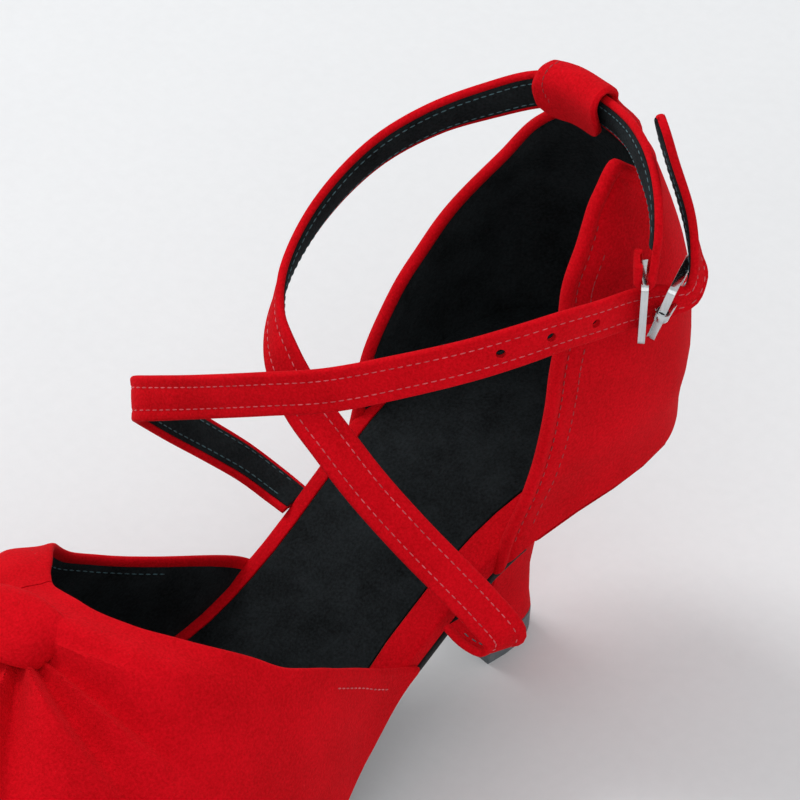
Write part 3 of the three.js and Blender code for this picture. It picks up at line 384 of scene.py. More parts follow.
@dataclass(frozen=True)
class Finish:
    """One real material and how its surface looks."""

    name: str
    dark: str  # colour in the hollows of the grain
    light: str  # colour on the tips of the grain, on the suedes and threads partly a painted highlight
    grain: float  # grain size in millimetres
    bump: float  # height of the grain in millimetres
    cloud: float = 9.0  # size of the lighter and darker clouds in millimetres
    clouding: float = 0.35  # how much the clouds shift the colour
    rough: float = 0.9
    sheen: float = 0.0
    sheen_colour: str = "FFFFFF"
    metal: float = 0.0
    specular: float = 0.5
    surface: Surface = Surface.NAPPED

    def build(self) -> bpy.types.Material:
        """Makes the material once and returns it."""
        found = bpy.data.materials.get(self.name)
        if found:
            return found
        material = bpy.data.materials.new(self.name)
        material.use_nodes = True
        tree = material.node_tree
        tree.nodes.clear()
        place = node(tree, "ShaderNodeTexCoord")
        turned = node(
            tree, "ShaderNodeMapping", {"Vector": place.outputs["Object"], "Scale": self.surface.value}
        )
        fine = node(
            tree, "ShaderNodeTexNoise",
            {"Vector": turned.outputs[0], "Scale": 1000 / self.grain, "Detail": 3.0, "Roughness": 0.65},
        )
        broad = node(
            tree, "ShaderNodeTexNoise",
            {"Vector": place.outputs["Object"], "Scale": 1000 / self.cloud, "Detail": 4.0, "Roughness": 0.6},
        )
        spread = node(
            tree, "ShaderNodeMapRange",
            {"Value": fine.outputs[0], "From Min": 0.3, "From Max": 0.7, "To Min": 0.0, "To Max": 1.0},
        )
        clouds = node(
            tree, "ShaderNodeMapRange",
            {"Value": broad.outputs[0], "From Min": 0.35, "From Max": 0.65, "To Min": 0.0, "To Max": 1.0},
        )
        share = node(
            tree, "ShaderNodeMix",
            {0: self.clouding, 2: spread.outputs[0], 3: clouds.outputs[0]}, data_type="FLOAT",
        )
        # the grain is mixed towards the tip colour, which on the suedes and threads is partly a painted
        # highlight
        colour = node(
            tree, "ShaderNodeMix",
            {0: share.outputs[0], 6: linear(self.dark), 7: linear(self.light)}, data_type="RGBA",
        )
        relief = node(
            tree, "ShaderNodeBump",
            {"Height": fine.outputs[0], "Strength": 1.0, "Distance": self.bump * MM},
        )
        shader = node(
            tree, "ShaderNodeBsdfPrincipled",
            {
                "Base Color": colour.outputs[2],
                "Roughness": self.rough,
                "Metallic": self.metal,
                "Specular IOR Level": self.specular,
                "Sheen Weight": self.sheen,
                "Sheen Roughness": 0.45,
                "Sheen Tint": linear(self.sheen_colour),
                "Normal": relief.outputs[0],
            },
        )
        node(tree, "ShaderNodeOutputMaterial", {"Surface": shader.outputs[0]})
        return material


# Microfibre suede, brushed: a short nap that lightens at grazing angles and lies in soft clouds; the paler
# red on its grain tips is a painted highlight.
RED_SUEDE = Finish(
    "microfibre_suede_red", "A80108", "D80819", 0.5, 0.16, 14.0, 0.3, 0.95, 0.22, "FF3038", specular=0.08
)
# The same cloth in black for linings: charcoal, with paler grain tips that are a painted highlight.
BLACK_SUEDE = Finish(
    "microfibre_suede_black", "070808", "24282A", 0.55, 0.16, 9.0, 0.4, 0.97, 0.1, "6A8088", specular=0.08
)
# Bonded polyester thread, twisted, so it glints a little; the pale pink on its grain tips is a painted glint.
THREAD = Finish("polyester_thread_red", "9A0C14", "E0606A", 0.9, 0.03, 4.0, 0.6, rough=0.5, sheen=0.2)
THREAD_DEEP = Finish("polyester_thread_deep_red", "80060E", "B8242E", 0.9, 0.03, 4.0, 0.6, rough=0.6)
# Dark teal thread for the linings; its paler tips are a painted glint.
THREAD_DARK = Finish("polyester_thread_teal", "12282D", "4A7078", 0.3, 0.03, rough=0.5)
# Nickel plated zinc, polished after casting.
PLATED = Finish(
    "nickel_plated_zinc", "B9BCBE", "DCDEDF", 0.8, 0.004, 5.0, 0.3, 0.16, metal=1.0, surface=Surface.BRUSHED
)
# Steel of the hidden nails, screw, dowel and shank, drawn and plated or blued.
STEEL = Finish(
    "zinc_plated_steel", "8E9296", "B8BBBE", 0.6, 0.01, 4.0, 0.3, 0.32, metal=1.0, surface=Surface.BRUSHED
)
SPRING_STEEL = Finish(
    "blued_spring_steel", "4A4F57", "6E747C", 0.8, 0.01, 8.0, 0.3, 0.35, metal=1.0, surface=Surface.BRUSHED
)
# Chrome suede sole, brushed rough, nearly black at its cut edge.
SOLE_SUEDE = Finish("chrome_suede_sole", "101112", "2A2B2C", 0.7, 0.2, 8.0, 0.3, 0.98, 0.1, specular=0.15)
# Moulded ABS heel.
ABS = Finish("moulded_abs_ivory", "CFC9BB", "DDD8CC", 1.5, 0.01, 12.0, 0.4, 0.45)
# Polyurethane top piece, moulded, matt grey.
TOP_RUBBER = Finish("moulded_polyurethane_grey", "4C5256", "646A6E", 0.8, 0.03, 6.0, 0.3, 0.6)
# Pressed fibre and cork, never seen once the shoe is closed.
BOARD = Finish("insole_fibreboard", "8A6C48", "A98A63", 0.9, 0.05, 6.0, 0.3, 0.9, surface=Surface.FIBRE)
STIFFENER = Finish(
    "counter_fibre_sheet", "B9AB8B", "D0C3A4", 0.8, 0.04, 6.0, 0.3, 0.85, surface=Surface.FIBRE
)
FILLER = Finish("cork_and_felt_packing", "5C4B37", "86704F", 1.6, 0.2, 5.0, 0.3, 0.95)


def dress(
    obj: bpy.types.Object, finish: Finish, body: str = "sandal", nodes: Sequence[str] = ()
) -> None:
    """Gives a piece its material, slot and body.

    Args:
        obj: The piece.
        finish: Its finish.
        body: The body it moves with.
        nodes: The CAD nodes that it stands for.
    """
    obj.data.materials.clear()
    obj.data.materials.append(finish.build())
    if nodes:
        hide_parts(*nodes)
    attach(obj, body)
    LOG.info("made %s with %d faces", obj.name, len(obj.data.polygons))


@dataclass(frozen=True)
class Seam:
    """A row of lockstitches: short threads that dip into needle holes."""

    pitch: float = 1.6
    length: float = 1.15
    radius: float = 0.14
    finish: Finish = THREAD

    def template(self) -> bpy.types.Mesh:
        """One stitch, a small rounded thread along x, from a sphere of few faces."""
        found = bpy.data.meshes.get("stitch_form")
        if found:
            return found
        deselect()
        bpy.ops.mesh.primitive_uv_sphere_add(segments=6, ring_count=5, radius=1.0)
        obj = bpy.context.object
        mesh = obj.data
        mesh.name = "stitch_form"
        mesh.transform(Matrix.Rotation(math.pi / 2, 4, "Y"))
        bpy.data.objects.remove(obj)
        return mesh

    def sew(self, name: str, path: StitchPath, start: float, end: float) -> bpy.types.Object:
        """Lays stitches along a path.

        Args:
            name: The row's name.
            path: Gives the point, the direction along and the direction out at a distance.
            start: First distance in millimetres.
            end: Last distance.

        Returns:
            The row as one object.
        """
        form = self.template()
        made = []
        count = max(1, int((end - start) / self.pitch))
        for i in range(count):
            p, along, out = path(start + (i + 0.5) * self.pitch)
            out = (out - along * out.dot(along)).normalized()
            across = out.cross(along)
            turn = Matrix((along, across, out)).transposed().to_4x4()
            size = Matrix.Diagonal((self.length / 2 * MM, self.radius * MM, self.radius * 0.8 * MM, 1))
            mesh = form.copy()
            mesh.transform(Matrix.Translation(world(p)) @ turn @ size)
            one = bpy.data.objects.new(f"{name}_{i}", mesh)
            bpy.context.scene.collection.objects.link(one)
            made.append(one)
        deselect()
        for one in made:
            one.select_set(True)
        bpy.context.view_layer.objects.active = made[0]
        if len(made) > 1:
            bpy.ops.object.join()
        row = bpy.context.view_layer.objects.active
        row.name = name
        row.data.name = name
        shade(row, 180)
        dress(row, self.finish)
        return row


# ---------------------------------------------------------------- heel cup
EDGE_OFFSET = 2.2
SIDE_OFFSET = curve([(-6, 2.2), (0, 2.2), (10, 3.3), (25, 2.8), (40, -0.8), (56, -6), (68, -10)])
BACK_OFFSET = curve([(-6, 2.2), (0, 2.2), (12, 3.8), (30, 2), (56, -6.5), (68, -11)])
TOPLINE = {
    1: curve([
        (2.5, 54.5), (4, 54.6), (9, 55), (16, 56.4), (18.8, 58.4), (22.8, 61.2), (30.4, 57.4), (35.5, 50.9),
        (39.9, 44.9), (42.2, 37.6), (44.9, 30.7), (46.7, 21.6), (48.2, 15.4), (50.4, 9.4), (53, 2.9),
        (55, -2.2),
    ]),
    -1: curve([
        (2.5, 54.5), (4, 53.8), (8, 51), (13, 46.7), (18.5, 39.2), (27.5, 29.9), (33.8, 24.3),
        (39.6, 20.3), (44, 15.5), (47.5, 11), (50, 6), (52.5, -2.2),
    ]),
}


def cup(a: float, h: float, d: float = 0.0) -> Vector:
    """A point of the heel cup.

    Args:
        a: Distance along the edge from the back centre, outer side positive.
        h: Height over the foot bed.
        d: Distance outside the outer surface.

    Returns:
        The point.
    """
    side = -1 if a < 0 else 1
    edge = EDGE[side]
    q = abs(a)
    x, s = edge.at(q)
    x0, s0 = edge.at(q - 2)
    x1, s1 = edge.at(q + 2)
    run = math.hypot(x1 - x0, s1 - s0)
    nx, ns = (s1 - s0) / run, -(x1 - x0) / run
    off = BACK_OFFSET(h) * ns * ns + SIDE_OFFSET(h) * nx * nx + d
    return V(side * (x + nx * off), s + ns * off, foot(s) + h)


def topline(a: float) -> float:
    """Height of the cup's top edge over the foot bed."""
    side = -1 if a < 0 else 1
    return TOPLINE[side](EDGE[side].at(abs(a))[1])


@dataclass
class Quarter:
    """The heel cup: red skin with a padded rolled edge, and its black lining."""

    foot_line: float = -4.5
    roll: float = 1.25
    gutter: float = 2.7
    wall_from: float = 3.9
    columns: int = 170
    rows: int = 14
    arc: int = 13

    def __post_init__(self) -> None:
        """Walks the top line in the plane of edge distance and height."""
        self.around = 2 * self.rows + self.arc + 5
        ends = {-1: -EDGE[-1].arc_of(52.4), 1: EDGE[1].arc_of(54.8)}
        raw = [(ends[-1] - 0.6, self.foot_line)]
        count = 400
        for i in range(count + 1):
            a = mix(ends[-1], ends[1], i / count)
            raw.append((a, topline(a)))
        raw.append((ends[1] + 0.6, self.foot_line))
        self.path = raw
        self.run = [0.0]
        for p, q in zip(raw, raw[1:]):
            self.run.append(self.run[-1] + math.hypot(q[0] - p[0], q[1] - p[1]))
        self.total = self.run[-1]

    def edge_at(self, r: float) -> Pair:
        """The top line at a distance along it."""
        r = min(max(r, 0.0), self.total)
        low, high, t = locate(self.run, r)
        p, q = self.path[low], self.path[high]
        return mix(p[0], q[0], t), mix(p[1], q[1], t)

    def inward(self, r: float) -> Pair:
        """The unit direction from the top line into the wall."""
        a0, h0 = self.edge_at(r - 2)
        a1, h1 = self.edge_at(r + 2)
        run = math.hypot(a1 - a0, h1 - h0)
        return (h1 - h0) / run, -(a1 - a0) / run

    def wall(self, r: float, w: float, d: float) -> Vector:
        """A point w below the top line, square to it, and d outside the surface."""
        a, h = self.edge_at(r)
        na, nh = self.inward(r)
        return cup(a + na * w, max(h + nh * w, self.foot_line), d)

    def lower(self, r: float, f: float, d: float, start: float) -> Vector:
        """A point a share f of the way from w = start to the foot line."""
        a, h = self.edge_at(r)
        na, nh = self.inward(r)
        a, h = a + na * start, max(h + nh * start, self.foot_line)
        first, last = self.path[0][0] + start, self.path[-1][0] - start
        even = mix(first, last, r / self.total)
        base = mix(a, even, 0.55)
        return cup(mix(a, base, f), mix(h, self.foot_line, f), d)

    def section(self, r: float, v: float) -> Vector:
        """The skin's closed section, from the foot line up, over the roll and down inside."""
        n, arc, total = self.rows, self.arc, self.around
        k = round(v * total) % total
        if k < n:
            return self.lower(r, 1 - k / n, 0.0, self.wall_from)
        k -= n
        lead = [(self.wall_from, 0.0), (3.3, -0.16), (self.gutter, -0.42), (2.4, -0.25)]
        if k < len(lead):
            return self.wall(r, *lead[k])
        k -= len(lead)
        if k < arc:
            angle = math.radians(mix(-38, 215, k / (arc - 1)))
            swell = self.roll
            return self.wall(r, 1.25 - swell * math.sin(angle), -1.05 + swell * math.cos(angle))
        k -= arc
        if k == 0:
            return self.wall(r, 3.4, -0.85)
        return self.lower(r, (k - 1) / (n - 1), -0.8, self.wall_from)

    def build(self) -> None:
        """Makes the skin, its lining and the stitches beside the roll."""
        skin = shaped(
            "quarter_skin", self.columns, self.around,
            lambda u, v: self.section(u * self.total, v), ring=True,
        )
        dress(skin, RED_SUEDE, nodes=["quarter_outer"])

        def lining(u: float, v: float) -> Vector:
            """The lining's closed section."""
            r = mix(3, self.total - 3, u)
            n = 16
            k = round(v * 2 * n) % (2 * n)
            depth = -2.35 if k <= n else -2.95
            k = k if k <= n else 2 * n - k
            if k == n:
                return self.wall(r, 1.9, depth + 0.25)
            if k == n - 1:
                return self.wall(r, self.wall_from, depth)
            f = 1 - k / (n - 1)
            return self.lower(r, f, depth, self.wall_from)

        inside = shaped("quarter_lining_suede", self.columns, 32, lining, ring=True)
        dress(inside, BLACK_SUEDE, nodes=["quarter_lining"])
        for label, w, first, last in (
            ("gutter", self.gutter + 0.1, self.total - 64.0, self.total - 4.0),
            ("second", self.gutter + 3.2, self.total - 60.0, self.total - 6.0),
            ("inner", self.gutter + 0.1, 4.0, 62.0),
        ):

            def path(r: float, w: float = w) -> tuple[Vector, Vector, Vector]:
                """The stitch line at a distance."""
                p = self.wall(r, w, -0.3 if w < 4.0 else 0.02)
                along = (self.wall(r + 0.5, w, 0) - self.wall(r - 0.5, w, 0)).normalized()
                out = (self.wall(r, w, 1) - self.wall(r, w, 0)).normalized()
                return p, along, out

            Seam(finish=THREAD_DEEP).sew(f"quarter_stitches_{label}", path, first, last)


# ---------------------------------------------------------------- vamp
ARCH = curve([
    (60, 60), (75, 62), (90, 62), (105, 60), (120, 57), (135, 53), (150, 46.5), (165, 39), (180, 31),
    (195, 23), (208, 14),
])
OPENING = curve([
    (0, 73), (0.04, 76.8), (0.12, 81.8), (0.2, 86), (0.29, 90.5), (0.4, 95.7), (0.5, 100.2),
    (0.6, 104.8), (0.7, 109.2), (0.85, 114.2), (1.14, 123.5), (1.35, 129), (1.55, 132), (1.7, 132.8),
    (1.8, 131.2), (1.9, 128.6), (2.2, 122.6), (2.46, 117), (2.62, 110), (2.8, 99.5), (3.0, 86),
    (3.1416, 76.5),
])
TOE_EDGE = curve([
    (0, 205), (0.4, 201), (0.9, 190), (1.5708, 184), (2.24, 190), (2.74, 201), (3.1416, 205),
])


def arch_point(t: float, s: float) -> Vector:
    """A point of the arch over the foot bed: t is 0 at the outer edge and pi at the inner edge."""
    left = lateral(s) + EDGE_OFFSET
    right = medial(s) + EDGE_OFFSET
    c = math.cos(t)
    sn = max(math.sin(t), 0.0)
    x = (left - right) / 2 + (left + right) / 2 * math.copysign(abs(c) ** 0.85, c) - 4 * sn * sn
    return V(x, s, foot(s) - 4.5 + (ARCH(s) + 4.5) * sn**0.8)


def arch(t: float, s: float, d: float) -> Vector:
    """The same point moved along the outward normal."""
    e = 0.02
    u = arch_point(min(t + e, math.pi), s) - arch_point(max(t - e, 0.0), s)
    v = arch_point(t, s + 0.5) - arch_point(t, s - 0.5)
    return arch_point(t, s) + u.cross(v).normalized() * d


@dataclass(frozen=True)
class Crease:
    """One deep fold that leaves the knot."""

    heading: float  # degrees from straight out to the side, towards the toe
    bend: float  # degrees of turn over its reach
    depth: float
    reach: float
    width: float


@dataclass
class Vamp:
    """The draped vamp: two panels gathered under a knot band, with black linings."""

    knot_t: float = 1.6
    knot_s: float = 143.5
    per_radian: float = 36.0
    bulk: float = 5.4
    creases: tuple[Crease, ...] = (
        Crease(-30, -4, 0.45, 24, 1.3),
        Crease(-2, -20, 1.0, 46, 1.5),
        Crease(22, -28, 1.0, 42, 1.5),
        Crease(60, -24, 1.0, 42, 1.5),
        Crease(88, -18, 0.9, 40, 1.6),
    )

    def relief(self, t: float, s: float) -> float:
        """Height of the folds over the plain arch; a crease comes down to the arch, never under it."""
        p = (self.knot_t - t) * self.per_radian
        q = s - self.knot_s
        inner = smooth(-p / 14)
        p = abs(p)
        r = math.hypot(p, q)
        swell = self.bulk * mix(1.0, 0.75, inner) * math.exp(-((max(r - 12, 0.0) / 24) ** 2))
        heading = math.degrees(math.atan2(q, p))
        deepest = 0.0
        for c in self.creases:
            apart = math.radians(heading - c.heading - c.bend * clamp(r / c.reach)) * max(r, 2.0)
            # one flank of a fold is steep, the other runs out softly
            width = c.width * (0.75 + 1.1 * r / c.reach) * (0.62 if apart > 0 else 2.2)
            fade = c.depth * smooth((c.reach - r) / (0.75 * c.reach)) * smooth((r + 3) / 7)
            deepest = max(deepest, fade * math.exp(-((apart / width) ** 2)))
        edge = smooth((s - OPENING(t)) / 8)
        return swell * (1 - deepest) * edge * clamp((TOE_EDGE(t) - s) / 6)

    def panel(self, name: str, first: float, last: float, nodes: Sequence[str]) -> None:
        """One outer panel with a turned, rounded top edge."""
        rows = 105
        turn = 6
        total = 2 * rows + turn

        def place(u: float, v: float) -> Vector:
            """Outer face from the toe up, over the turned edge and down inside."""
            t = mix(first, last, u)
            k = round(v * total) % total
            opening, toe = OPENING(t), TOE_EDGE(t)
            if k <= rows:
                s = mix(toe, opening + 0.9, (k / rows) ** 0.9)
                return arch(t, s, self.relief(t, s))
            k -= rows
            if k < turn:
                angle = math.pi * k / turn
                return arch(t, opening + 0.9 - 0.9 * math.sin(angle), -0.75 + 0.75 * math.cos(angle))
            f = (k - turn) / rows
            s = mix(opening + 0.9, toe, f)
            inner = min(self.relief(t, s), 0.4) - 0.8
            return arch(t, s, mix(-1.5, inner, smooth(f * 12)))

        obj = shaped(name, 190, total, place, ring=True)
        dress(obj, RED_SUEDE, nodes=nodes)

    def lining(self, name: str, first: float, last: float, node_name: str) -> None:
        """One lining panel, inside the outer and a little short of its edge."""
        rows = 40
        total = 2 * rows

        def place(u: float, v: float) -> Vector:
            """The lining's closed section."""
            t = mix(first, last, u)
            k = round(v * total) % total
            depth = -1.7 if k <= rows else -2.2
            k = k if k <= rows else total - k
            toe = TOE_EDGE(t)
            low = min(t, math.pi - t)
            held = mix(0.02, 0.34, low / 0.34) if low < 0.34 else low
            angle = held if t < 1.5 else math.pi - held
            s = mix(OPENING(angle) + 1.8, toe - 1, k / rows)
            return arch(angle, s, depth)

        obj = shaped(name, 60, total, place, ring=True)
        dress(obj, BLACK_SUEDE, nodes=[node_name])

    def band(self) -> None:
        """The knot band: a soft folded strip over the gather, tucked in at both ends."""
        turns = 22

        def place(u: float, v: float) -> Vector:
            """A rounded, slightly creased strip across the gather."""
            w = mix(-1, 1, u)
            q = 2 * math.pi * v
            squeeze = math.sqrt(max(0.02, 1 - abs(w) ** 2.6))
            crease = 0.3 * math.cos(3 * q + 2 * w) * squeeze
            t = self.knot_t + 0.11 + w * 0.25
            lift = 0.6 + 2.8 * squeeze
            across = math.cos(q) * (6.6 + crease) * (0.5 + 0.5 * squeeze)
            height = lift + math.sin(q) * (3.5 + crease) * squeeze
            return arch(t, self.knot_s + 0.5 + across + 2.5 * w, height)

        obj = shaped("vamp_knot", 36, turns * 2, place, ring=True)
        dress(obj, RED_SUEDE, nodes=["vamp_knot_band"])

    def hem(self) -> None:
        """Stitches that hold the turned edge at the outer side and the lining at the inner side."""
        for label, first, last, finish, depth in (
            ("outer", 0.06, 0.42, THREAD, 0.06),
            ("inner", 2.0, 2.9, THREAD_DARK, -2.25),
        ):
            marks = [mix(first, last, i / 60) for i in range(61)]
            offset = 3.2
            points = [arch(t, OPENING(t) + offset, depth) for t in marks]
            run = [0.0]
            for p, q in zip(points, points[1:]):
                run.append(run[-1] + (q - p).length)

            def path(r: float) -> tuple[Vector, Vector, Vector]:
                """The stitch line at a distance."""
                i = 0
                while i < len(run) - 2 and run[i + 1] < r:
                    i += 1
                share = (r - run[i]) / (run[i + 1] - run[i])
                t = mix(marks[i], marks[i + 1], share)
                along = (points[i + 1] - points[i]).normalized()
                s = OPENING(t) + offset
                return points[i].lerp(points[i + 1], share), along, arch(t, s, 1) - arch(t, s, 0)

            Seam(finish=finish).sew(f"vamp_stitches_{label}", path, 1, run[-1] - 1)

    def build(self) -> None:
        """Makes both panels, both linings, the band and the hems."""
        seam = 1.74
        self.panel("vamp_drape_outer_side", 0.0, seam - 0.003, ["vamp_lateral_drape"])
        self.panel("vamp_drape_inner_side", seam + 0.003, math.pi, ["vamp_medial_drape"])
        self.lining("vamp_lining_outer_side", 0.0, seam - 0.012, "vamp_lining_lateral")
        self.lining("vamp_lining_inner_side", seam + 0.012, math.pi, "vamp_lining_medial")
        self.band()
        self.hem()


# ---------------------------------------------------------------- straps
Station = tuple[Vector, Vector]


class Ribbon:
    """A flat strap along a smooth path with a given outward side."""

    def __init__(self, stations: Sequence[Station]) -> None:
        """Prepares the path. Args: stations: Points with their outward directions."""
        self.points = [q[0] for q in stations]
        count = len(stations)
        share = [i / (count - 1) for i in range(count)]
        self.normal = [curve([(share[i], stations[i][1][k]) for i in range(count)]) for k in range(3)]
        samples = 30 * (count - 1)
        self.steps = [i / samples for i in range(samples + 1)]
        self.run = [0.0]
        laid = [self.point(t) for t in self.steps]
        for p, q in zip(laid, laid[1:]):
            self.run.append(self.run[-1] + (q - p).length)
        self.length = self.run[-1]

    def point(self, t: float) -> Vector:
        """The centripetal spline at a share t of its stations."""
        pts = self.points
        last = len(pts) - 1
        q = last * min(max(t, 0.0), 1.0)
        i = min(int(q), last - 1)
        w = q - i
        p1, p2 = pts[i], pts[i + 1]
        p0 = pts[i - 1] if i else p1 * 2 - p2
        p3 = pts[i + 2] if i + 2 <= last else p2 * 2 - p1
        d0, d1, d2 = ((b - a).length ** 0.5 for a, b in ((p0, p1), (p1, p2), (p2, p3)))
        m1 = ((p1 - p0) / d0 - (p2 - p0) / (d0 + d1) + (p2 - p1) / d1) * d1
        m2 = ((p2 - p1) / d1 - (p3 - p1) / (d1 + d2) + (p3 - p2) / d2) * d1
        c2 = p1 * -3 + p2 * 3 - m1 * 2 - m2
        c3 = p1 * 2 - p2 * 2 + m1 + m2
        return p1 + m1 * w + c2 * w * w + c3 * w * w * w

    def share_at(self, mm: float) -> float:
        """The share of the path at a distance along it."""
        mm = min(max(mm, 0.0), self.length)
        low, high, t = locate(self.run, mm)
        return mix(self.steps[low], self.steps[high], t)

    def frame_at(self, mm: float) -> tuple[Vector, Vector, Vector, Vector]:
        """Point, direction along, out and across at a distance."""
        t = self.share_at(mm)
        p = self.point(t)
        along = (self.point(min(t + 1e-3, 1)) - self.point(max(t - 1e-3, 0))).normalized()
        out = Vector([c(t) for c in self.normal])
        out = (out - along * out.dot(along)).normalized()
        return p, along, out, along.cross(out)


@dataclass
class Strap:
    """One ankle strap: a red outer with thick turned edges round a black lining, stitched on both sides."""

    label: str
    ribbon: Ribbon
    nodes: tuple[str, str]
    width: Callable[[float], float]
    sewn: Pair
    lined: Pair
    holes: tuple[float, ...] = ()
    half_width: float = 4.25
    row: float = 2.1  # stitch row to centre line
    hole_radius: float = 0.9

    def outer_section(self, mm: float) -> list[Pair]:
        """The closed section of the outer: a flat band whose turned edges stand thicker."""
        k = self.width(mm)
        h = self.half_width * k
        bead = 0.72
        right = []
        for angle in range(90, -100, -20):
            a = math.radians(angle)
            right.append((h - bead + bead * math.cos(a), 0.42 + bead * math.sin(a) * 1.08))
        right.append((h - bead - 0.65, -0.2))
        right.append((h - bead - 1.0, 0.12))
        top = [(self.row * k + 0.5, 1.16), (self.row * k, 0.98), (self.row * k - 0.5, 1.16), (0.45, 1.2)]
        half_ring = list(reversed(top)) + right
        left = [(-u, v) for u, v in reversed(half_ring)]
        return half_ring + left

    def build(self) -> None:
        """Makes the outer, the lining and two rows of stitches."""
        count = int(self.ribbon.length / 0.75)
        size = len(self.outer_section(0))

        def outer(u: float, v: float) -> Vector:
            """A point of the outer layer."""
            mm = u * self.ribbon.length
            p, _, out, across = self.ribbon.frame_at(mm)
            a, b = self.outer_section(mm)[round(v * size) % size]
            return p + across * a + out * b

        red = shaped(f"strap_{self.label}_suede", count, size, outer, ring=True)
        self.punch(red)
        dress(red, RED_SUEDE, nodes=[self.nodes[0]])

        def inner(u: float, v: float) -> Vector:
            """A point of the lining, a shallow pillow between the turned edges."""
            mm = mix(self.lined[0], self.lined[1], u)
            p, _, out, across = self.ribbon.frame_at(mm)
            h = (self.half_width - 1.15) * self.width(mm)
            section = [
                (-h, -0.28), (-h * 0.5, -0.05), (h * 0.5, -0.05), (h, -0.28), (h, -0.5),
                (h * 0.7, -0.8), (0, -0.92), (-h * 0.7, -0.8), (-h, -0.5),
            ]
            a, b = section[round(v * 9) % 9]
            return p + across * a + out * b

        black = shaped(f"strap_{self.label}_lining_suede", int(count * 0.8), 9, inner, ring=True)
        self.punch(black)
        dress(black, BLACK_SUEDE, nodes=[self.nodes[1]])
        for side in (-1, 1):

            def path(mm: float, side: int = side) -> tuple[Vector, Vector, Vector]:
                """The stitch line at a distance."""
                p, along, out, across = self.ribbon.frame_at(mm)
                return p + across * (side * self.row * self.width(mm)) + out * 1.0, along, out

            def under(mm: float, side: int = side) -> tuple[Vector, Vector, Vector]:
                """The same seam on the lining."""
                p, along, out, across = self.ribbon.frame_at(mm)
                return p + across * (side * 2.3 * self.width(mm)) - out * 0.78, along, -out

            name = "left" if side < 0 else "right"
            Seam().sew(f"strap_{self.label}_stitches_{name}", path, *self.sewn)
            lining_name = f"strap_{self.label}_lining_stitches_{name}"
            Seam(finish=THREAD_DARK).sew(lining_name, under, *self.sewn)

    def punch(self, obj: bpy.types.Object) -> None:
        """Punches the round holes through one layer."""
        for i, mm in enumerate(self.holes):
            p, _, out, _ = self.ribbon.frame_at(mm)
            deselect()
            bpy.ops.mesh.primitive_cylinder_add(vertices=20, radius=self.hole_radius * MM, depth=6 * MM)
            tool = bpy.context.object
            turn = out.to_track_quat("Z", "Y").to_matrix().to_4x4()
            tool.data.transform(Matrix.Translation(world(p)) @ turn)
            finish_with(obj, "BOOLEAN", operation="DIFFERENCE", object=tool, solver="EXACT")
            bpy.data.objects.remove(tool)
        shade(obj)


DEEP = N(0.745, 0.667, 0)
FLAT = N(0.667, -0.745, 0)
RING_AT = V(30.5, 30.5, 97.2)
RING_TALL = 13.4
RING_DEEP = 9.2
RING_WIRE = 0.65
RING_TOP = RING_AT + Vector((0, 0, RING_TALL / 2 - RING_WIRE))


def around(degrees: float, up: float = 0.0) -> Station:
    """A station of the strap end that loops round the ring's top bar."""
    a = math.radians(degrees)
    offset = FLAT * (0.85 * math.cos(a)) - Vector((0, 0, 0.85 * math.sin(a)))
    return RING_TOP + offset + Vector((0, 0, up)), offset.normalized()


REAR: list[Station] = [
    (V(23.5, 64.6, 35.6), N(0.05, 0.1, -1)), (V(27.4, 64.4, 34.4), N(0.1, 0.1, -1)),
    (V(31.5, 63.5, 34), N(0.5, 0.15, -0.85)), (V(33.6, 62.8, 37), N(0.95, 0.3, -0.05)),
    (V(30, 65.8, 43.6), N(0.72, 0.5, 0.48)), (V(26, 69.2, 49.6), N(0.62, 0.52, 0.58)),
    (V(19, 73.2, 57), N(0.55, 0.52, 0.65)), (V(10, 76.4, 64.6), N(0.5, 0.52, 0.69)),
    (V(2, 78, 70.8), N(0.42, 0.55, 0.72)), (V(-5, 78.4, 75), N(0.25, 0.65, 0.72)),
    (V(-13, 76.6, 78.8), N(-0.1, 0.82, 0.56)), (V(-20, 72.8, 81.4), N(-0.5, 0.82, 0.3)),
    (V(-26, 66, 85), N(-0.8, 0.58, 0.15)), (V(-30, 56.8, 89.6), N(-0.94, 0.28, 0.15)),
    (V(-31.2, 47.8, 94.6), N(-0.97, 0.1, 0.15)), (V(-30, 39.2, 99.5), N(-0.97, -0.1, 0.15)),
    (V(-26.6, 29.8, 103.6), N(-0.9, -0.35, 0.15)), (V(-21.5, 21.6, 106.8), N(-0.75, -0.6, 0.1)),
    (V(-15, 15.6, 110.4), N(-0.35, -0.93, 0.2)), (V(-7.6, 14, 113.1), N(-0.1, -0.97, 0.25)),
    (V(1.1, 14.7, 114.6), N(0.15, -0.96, 0.25)), (V(8, 16.4, 115.9), N(0.3, -0.93, 0.2)),
    (V(14.6, 19.3, 117.2), N(0.42, -0.9, 0.1)), (V(20.7, 22.4, 117), N(0.52, -0.86, 0)),
    (V(26.2, 25.5, 115.5), N(0.62, -0.78, 0)), (V(29.8, 28, 112.6), N(0.66, -0.75, 0)),
    (V(31, 29.3, 108.6), N(0.667, -0.745, 0)),
    around(0, 1.2), around(30), around(60), around(90), around(120), around(150), around(180, 1.0),
    around(180, 3.6),
]
TAIL_FACE = N(0.48, -0.87, 0.1)
